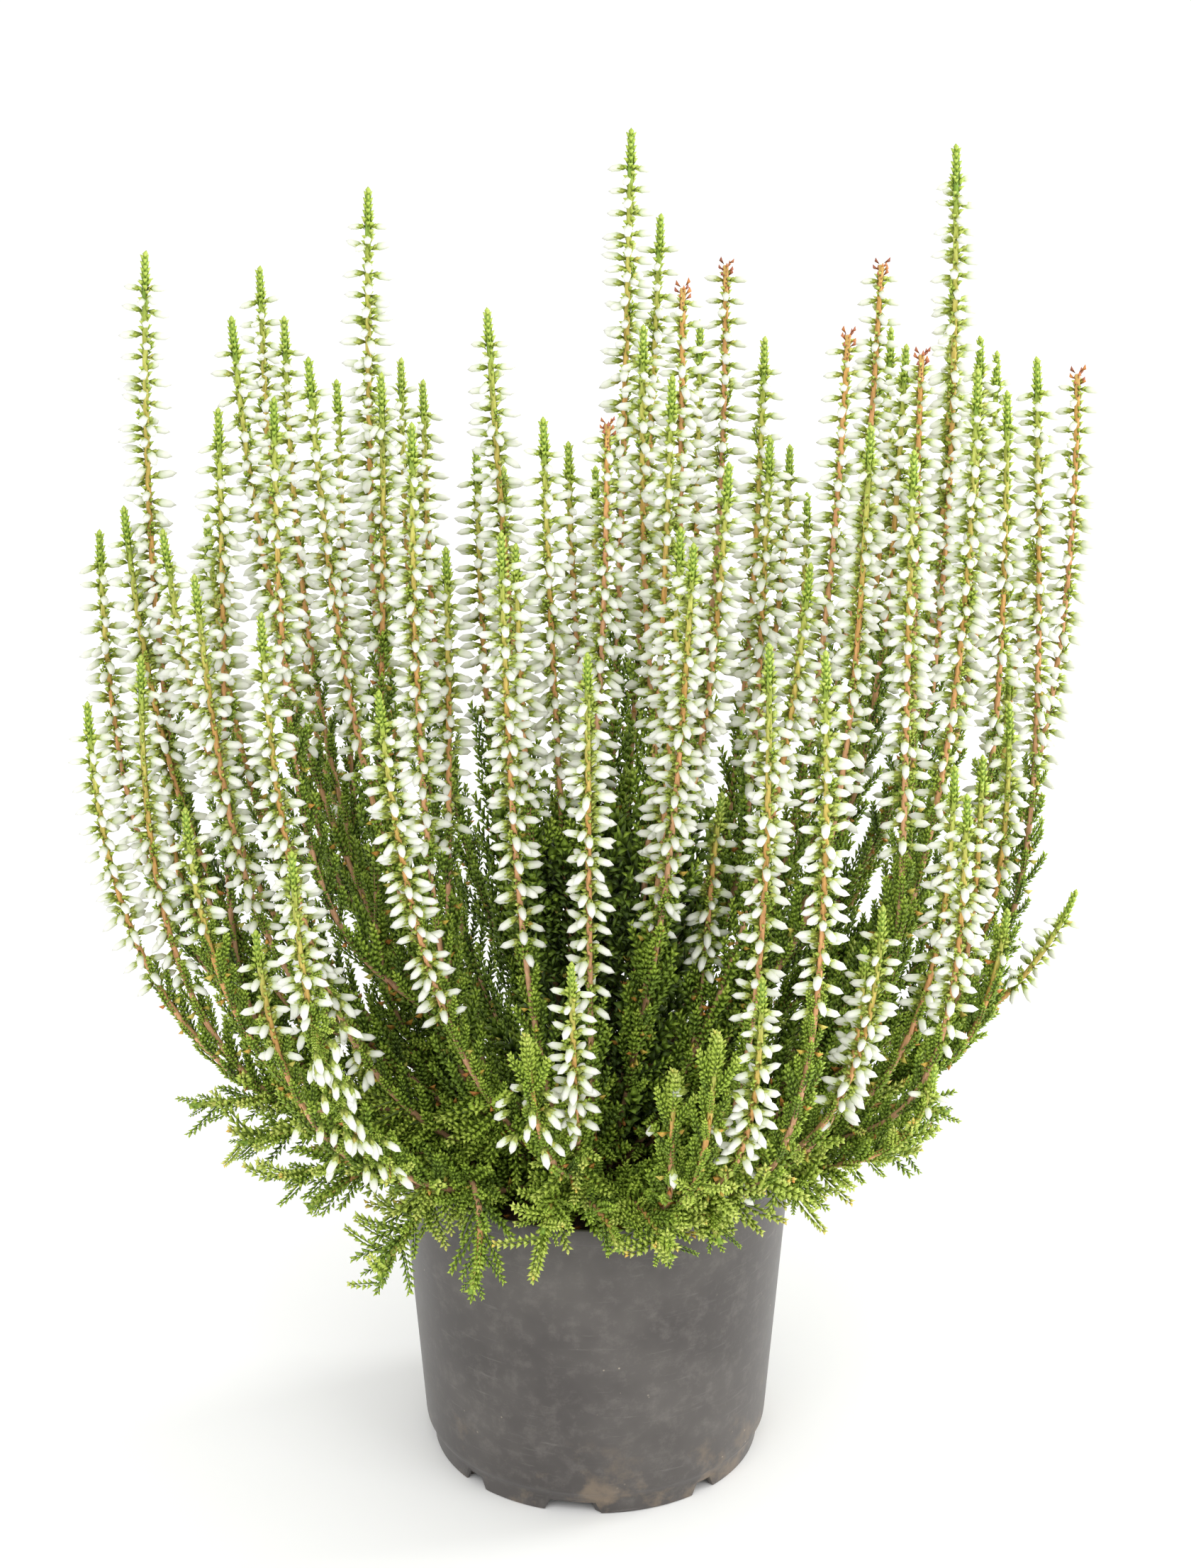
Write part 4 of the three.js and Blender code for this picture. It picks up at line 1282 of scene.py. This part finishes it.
# %% Dress every stem
made_faces = {}
for number, branch in enumerate(branches):
    is_spray = number >= len(FLOWER_STEMS)
    index = number - len(FLOWER_STEMS) + 1 if is_spray else number + 1
    node = f"leaf_spray_{index:02d}" if is_spray else f"flower_stem_{index:02d}"
    rng = np.random.default_rng(SEED + number)
    blooms, greens, bark = Bunch(), Bunch(), []
    for side in range(len(branch)):
        line = Line(bends[starts[number] + side], side == 0)
        withered = not is_spray and (index, side) in WITHERED_TIPS
        bark.append(bark_shape(line, side, len(branch), 0.8 if withered else 1.0))
        if is_spray:
            dress_spray(line, greens, rng)
        else:
            dress_raceme(line, index, side, FLOWER_STEMS[number][side][4], blooms, greens, rng)
        if side == 0:
            dress_crown(line, greens, rng)
    parts = [("bark", joined(bark), BARK), ("leaves", greens.shape(), LEAF)]
    if blooms.noted:
        parts.append(("buds", blooms.shape(), SEPAL))
    for kind, shape, finish in parts:
        piece_from(f"{node}_{kind}", shape, finish, "heather_leaf" if is_spray else "heather_bloom", node)
        made_faces[kind] = made_faces.get(kind, 0) + len(shape.faces)
print("faces:", made_faces, "in all", sum(made_faces.values()))

# %% [markdown]
# ## Pot
# The pot is thin injection-moulded plastic: a tapered wall, a crease above the foot, and a skirt cut into
# lobes so that water can run out. It is a turned part, so its outline is spun round the axis. The notches
# are then made by lifting the skirt's lower edge between two angles, which keeps one clean mesh. The
# drain holes in the floor are cut with a Boolean, because they cross the spun rings.

# %% Pot outline
FOOT_RADIUS, FOOT_WIDTH, CREASE_RADIUS, CREASE_Z = 46.0, 2.6, 48.2, 8.0
LIP_RADIUS, LIP_Z, WALL, FLOOR_UNDER, FLOOR_TOP = 54.4, 90.0, 1.3, 4.0, 5.4
POT_OUTLINE = [
    (0, FLOOR_UNDER),
    (FOOT_RADIUS - FOOT_WIDTH - 1, FLOOR_UNDER),
    (FOOT_RADIUS - FOOT_WIDTH, 0.5),
    (FOOT_RADIUS - FOOT_WIDTH + 0.5, 0),
    (FOOT_RADIUS - 0.9, 0),
    (FOOT_RADIUS - 0.2, 0.25),
    (FOOT_RADIUS, 0.9),
    (FOOT_RADIUS + 0.35, CREASE_Z - 3.2),
    (FOOT_RADIUS + 0.6, CREASE_Z - 2.3),
    (CREASE_RADIUS - 0.5, CREASE_Z - 0.6),
    (CREASE_RADIUS, CREASE_Z + 0.2),
    (CREASE_RADIUS + 0.15, CREASE_Z + 1.4),
    (LIP_RADIUS, LIP_Z),
    (RIM_RADIUS - 0.1, LIP_Z + 0.5),
    (RIM_RADIUS, LIP_Z + 1.0),
    (RIM_RADIUS, POT_HEIGHT - 0.8),
    (RIM_RADIUS - 0.25, POT_HEIGHT - 0.2),
    (RIM_RADIUS - 0.7, POT_HEIGHT),
    (RIM_RADIUS - WALL, POT_HEIGHT - 0.2),
    (LIP_RADIUS - WALL, LIP_Z),
    (CREASE_RADIUS - WALL + 0.1, FLOOR_TOP + 2.4),
    (CREASE_RADIUS - WALL - 1.4, FLOOR_TOP),
    (0, FLOOR_TOP),
]
print("the pot's outline:", len(POT_OUTLINE), "points")

# %% Pot shape
POT_STEPS = 180
NOTCH_HEIGHT = 3.4
NOTCHES = [(-18, 0), (37, 45), (82, 98), (128, 136), (162, 180), (217, 225), (262, 278), (308, 316)]


def is_in_notch(point):
    angle = math.degrees(math.atan2(point.x, -point.y))
    return any(start < (angle - start) % 360 + start < end for start, end in NOTCHES)


def spun(outline, steps):
    """An outline of radii and heights that is spun round Z and closed at its poles."""
    bm = bmesh.new()
    verts = [bm.verts.new((radius, 0, z)) for radius, z in outline]
    edges = [bm.edges.new(pair) for pair in zip(verts, verts[1:])]
    bmesh.ops.spin(
        bm,
        geom=verts + edges,
        cent=(0, 0, 0),
        axis=(0, 0, 1),
        angle=2 * math.pi,
        steps=steps,
        use_merge=True,
    )
    bmesh.ops.remove_doubles(bm, verts=bm.verts, dist=0.001)
    return bm


def pot_shape():
    """The spun pot, with its skirt notched."""
    bm = spun(POT_OUTLINE, POT_STEPS)
    for vert in bm.verts:
        if vert.co.z < 1.0 and is_in_notch(vert.co):
            vert.co.z += NOTCH_HEIGHT
    bmesh.ops.recalc_face_normals(bm, faces=bm.faces)
    return bm


print("notches in the skirt:", len(NOTCHES))

# %% [markdown]
# A spun bmesh becomes a piece like this: it is scaled to metres, shaded smooth, and its edges stay sharp
# where two faces meet at more than a small angle. The drain holes are one bmesh of seven short cylinders,
# which a Boolean takes out of the pot's floor in one go.

# %% A turned piece, and holes in it
SHARP_DEGREES = 35
DRAIN_RADIUS, DRAIN_RING, DRAIN_COUNT = 3.2, 34.0, 6


def plain_piece(name, bm, finish):
    """A bmesh in millimetres as an object in metres, smooth but for its sharp edges."""
    bmesh.ops.scale(bm, vec=(MM, MM, MM), verts=bm.verts)
    for face in bm.faces:
        face.smooth = True
    for edge in bm.edges:
        edge.smooth = edge.calc_face_angle(0.0) < math.radians(SHARP_DEGREES)
    mesh = bpy.data.meshes.new(name)
    bm.to_mesh(mesh)
    bm.free()
    mesh.materials.append(finish)
    piece = bpy.data.objects.new(name, mesh)
    bpy.context.scene.collection.objects.link(piece)
    return piece


def drain_cutters():
    """The bodies of the drain holes: a ring of them and one in the middle."""
    bm = bmesh.new()
    for k in range(DRAIN_COUNT + 1):
        turn = 2 * math.pi * k / DRAIN_COUNT
        ring = DRAIN_RING if k < DRAIN_COUNT else 0.0
        hole = bmesh.ops.create_cone(
            bm,
            cap_ends=True,
            segments=24,
            radius1=DRAIN_RADIUS,
            radius2=DRAIN_RADIUS,
            depth=10.0,
        )
        middle = (ring * math.cos(turn), ring * math.sin(turn), FLOOR_UNDER)
        bmesh.ops.translate(bm, verts=hole["verts"], vec=middle)
    return bm


def cut(piece, cutters):
    """Cuts a bmesh of closed bodies out of a piece."""
    tool = plain_piece("cutters", cutters, piece.data.materials[0])
    boolean = piece.modifiers.new("holes", "BOOLEAN")
    boolean.operation = "DIFFERENCE"
    boolean.solver = "EXACT"
    boolean.object = tool
    seen = piece.evaluated_get(bpy.context.evaluated_depsgraph_get())
    piece.data = bpy.data.meshes.new_from_object(seen)
    piece.modifiers.clear()
    bpy.data.objects.remove(tool)


print("drain holes:", DRAIN_COUNT + 1)

# %% [markdown]
# The plastic is a warm dark grey, dulled by use: cloudy dust, fine scratches, pale specks where peat
# dried on it, and earth stains round the foot. Each of these is one noise at its own size, laid over the
# base colour, and the dust noise changes the gloss too, since dust is matt where bare plastic shines a
# little.

# %% Pot finish
def pot_finish():
    finish, tree, shader = finish_named("dusty_grey_plastic", Roughness=0.45, Specular_IOR_Level=0.35)
    place = add(tree, "TexCoord").outputs["Object"]

    def cloud(scale, detail=4.0, roughness=0.6, stretch=(1.0, 1.0, 1.0)):
        stretched = add(tree, "Mapping", Vector=place, Scale=stretch).outputs["Vector"]
        noise = add(tree, "TexNoise", Vector=stretched, Scale=scale, Detail=detail, Roughness=roughness)
        return noise.outputs["Fac"]

    def between(value, low, high):
        scaled = add(tree, "MapRange", Value=value, From_Min=low, From_Max=high)
        return scaled.outputs["Result"]

    def times(first, second):
        return maths(tree, "MULTIPLY", first, second)

    dust = between(cloud(26.0), 0.42, 0.68)
    fine_dust = between(cloud(210.0, 6.0, 0.75), 0.5, 0.72)
    scratches = between(cloud(60.0, 5.0, 0.7, (1.0, 1.0, 14.0)), 0.6, 0.72)
    specks = between(add(tree, "TexVoronoi", Vector=place, Scale=300.0).outputs["Distance"], 0.11, 0.05)
    rare = between(cloud(34.0), 0.55, 0.62)
    low = between(add(tree, "SeparateXYZ", Vector=place).outputs["Z"], 0.03, 0.002)
    stains = times(between(cloud(70.0, 5.0, 0.65), 0.52, 0.66), low)
    colour = ramp(tree, dust, [(0.0, paint(74, 70, 68)), (1.0, paint(92, 88, 85))])
    for mark, tone in (
        (times(fine_dust, 0.18), paint(150, 144, 138)),
        (times(scratches, 0.16), paint(160, 156, 150)),
        (times(times(specks, rare), 0.7), paint(176, 164, 146)),
        (times(stains, 0.62), paint(146, 128, 106)),
    ):
        colour = laid_over(tree, colour, tone, mark)
    matt = maths(tree, "MULTIPLY_ADD", dust, 0.14, 0.36)
    bump = add(tree, "Bump", Height=cloud(500.0), Strength=0.12, Distance=0.0002)
    set_inputs(tree, shader, Base_Color=colour, Roughness=matt, Normal=bump.outputs["Normal"])
    return finish


pot = plain_piece("nursery_pot", pot_shape(), pot_finish())
cut(pot, drain_cutters())
tie(pot, "pot_plastic", "pot")
print("pot faces:", len(pot.data.polygons))

# %% [markdown]
# ## Peat
# The root ball fills the pot, and its top is loose peat with crumbs, and the small dead leaves that drop
# from the shoots above. It shows only between the stems. The body is spun like the pot, its top is
# roughened by noise, and crumbs and leaves are copies scattered over it.

# %% Peat finish
PEAT_TONES = [
    (0.3, paint(34, 24, 18)),
    (0.5, paint(64, 46, 34)),
    (0.64, paint(92, 68, 48)),
    (0.8, paint(60, 42, 30)),
]


def peat_finish():
    finish, tree, shader = finish_named("peat", Roughness=0.95)
    place = add(tree, "TexCoord").outputs["Object"]
    grain = add(tree, "TexNoise", Vector=place, Scale=420.0, Detail=6.0, Roughness=0.7).outputs["Fac"]
    bump = add(tree, "Bump", Height=grain, Strength=0.8, Distance=0.0006)
    colour = ramp(tree, grain, PEAT_TONES)
    set_inputs(tree, shader, Base_Color=colour, Normal=bump.outputs["Normal"])
    return finish


PEAT = peat_finish()
print("material:", PEAT.name)

# %% Peat
PEAT_STEPS = 72
SOIL_CROWN = 1.5
CLEARANCE = 0.5
CRUMBS = 260


def wall_inside(z):
    """The pot's inner radius at a height."""
    share = (z - CREASE_Z) / (LIP_Z - CREASE_Z)
    return CREASE_RADIUS + (LIP_RADIUS - CREASE_RADIUS) * share - WALL


def strewn(radius, rng):
    """A place drawn evenly over the soil, and the angle at which it lies."""
    out, turn = radius * math.sqrt(rng.random()) * 0.96, rng.uniform(0, 2 * math.pi)
    return out * math.cos(turn), out * math.sin(turn), turn


def peat_shape(rng):
    """The spun root ball with a rough top and crumbs on it."""
    edge_z = SOIL_TOP - SOIL_CROWN
    edge = wall_inside(edge_z) - CLEARANCE
    outline = [(0, FLOOR_TOP + 0.3), (wall_inside(9) - 3.0, FLOOR_TOP + 0.3)]
    outline += [(wall_inside(12) - CLEARANCE, 12.0), (edge, edge_z)]
    outline += [(edge * share, SOIL_TOP - SOIL_CROWN * share**4) for share in np.linspace(0.95, 0.05, 19)]
    outline += [(0, SOIL_TOP)]
    bm = spun(outline, PEAT_STEPS)
    for vert in bm.verts:
        if vert.co.z > edge_z + 0.05:
            vert.co.z += rng.normal(0, 0.45)
    for _ in range(CRUMBS):
        size = rng.uniform(0.5, 1.7)
        x, y, _ = strewn(edge, rng)
        crumb = bmesh.ops.create_icosphere(bm, subdivisions=1, radius=size)["verts"]
        for vert in crumb:
            vert.co *= rng.uniform(0.75, 1.15)
            vert.co.z *= 0.7
        bmesh.ops.translate(bm, verts=crumb, vec=(x, y, SOIL_TOP + 0.1 * size))
    bmesh.ops.recalc_face_normals(bm, faces=bm.faces)
    return bm


rng = np.random.default_rng(SEED + 500)
peat = plain_piece("peat_ball", peat_shape(rng), PEAT)
tie(peat, "peat", "soil")
print("peat faces:", len(peat.data.polygons))

# %% Dead leaves on the peat
LITTER = 400
LITTER_RADIUS = 52


def litter_shape(rng):
    """Dead leaves that lie on the soil."""
    litter = Bunch()
    for _ in range(LITTER):
        x, y, turn = strewn(LITTER_RADIUS, rng)
        lying = np.array([math.cos(turn * 7), math.sin(turn * 7), rng.uniform(-0.1, 0.5)])
        spot = np.array([x, y, SOIL_TOP + rng.uniform(0.2, 1.4)])
        litter.put(SCALE_LEAF, spot, lying, UP, rng.uniform(1.8, 3.4), rng.uniform(YELLOW, 0.99))
    return litter.shape()


piece_from("leaf_litter", litter_shape(rng), LEAF, "peat", "soil")
print("dead leaves on the peat:", LITTER)

# %% [markdown]
# ## Floor
# The pot stands on a wide, pale sheet, and its shadow on the sheet shows that it stands. The sheet's edge
# lies outside the photo's view, though a low view from behind shows one far corner faintly. The sheet is
# only scenery, because it is no part of the plant.

# %% Floor
FLOOR_REACH = 4.0


def floor_finish():
    white = paint(250, 250, 249)
    return finish_named("pale_floor", Base_Color=white, Roughness=0.7, Specular_IOR_Level=0.2)[0]


bm = bmesh.new()
bmesh.ops.create_grid(bm, x_segments=1, y_segments=1, size=FLOOR_REACH)
mesh = bpy.data.meshes.new("floor")
bm.to_mesh(mesh)
bm.free()
mesh.materials.append(floor_finish())
floor = bpy.data.objects.new("floor", mesh)
bpy.context.scene.collection.objects.link(floor)
print("floor:", 2 * FLOOR_REACH, "m wide")
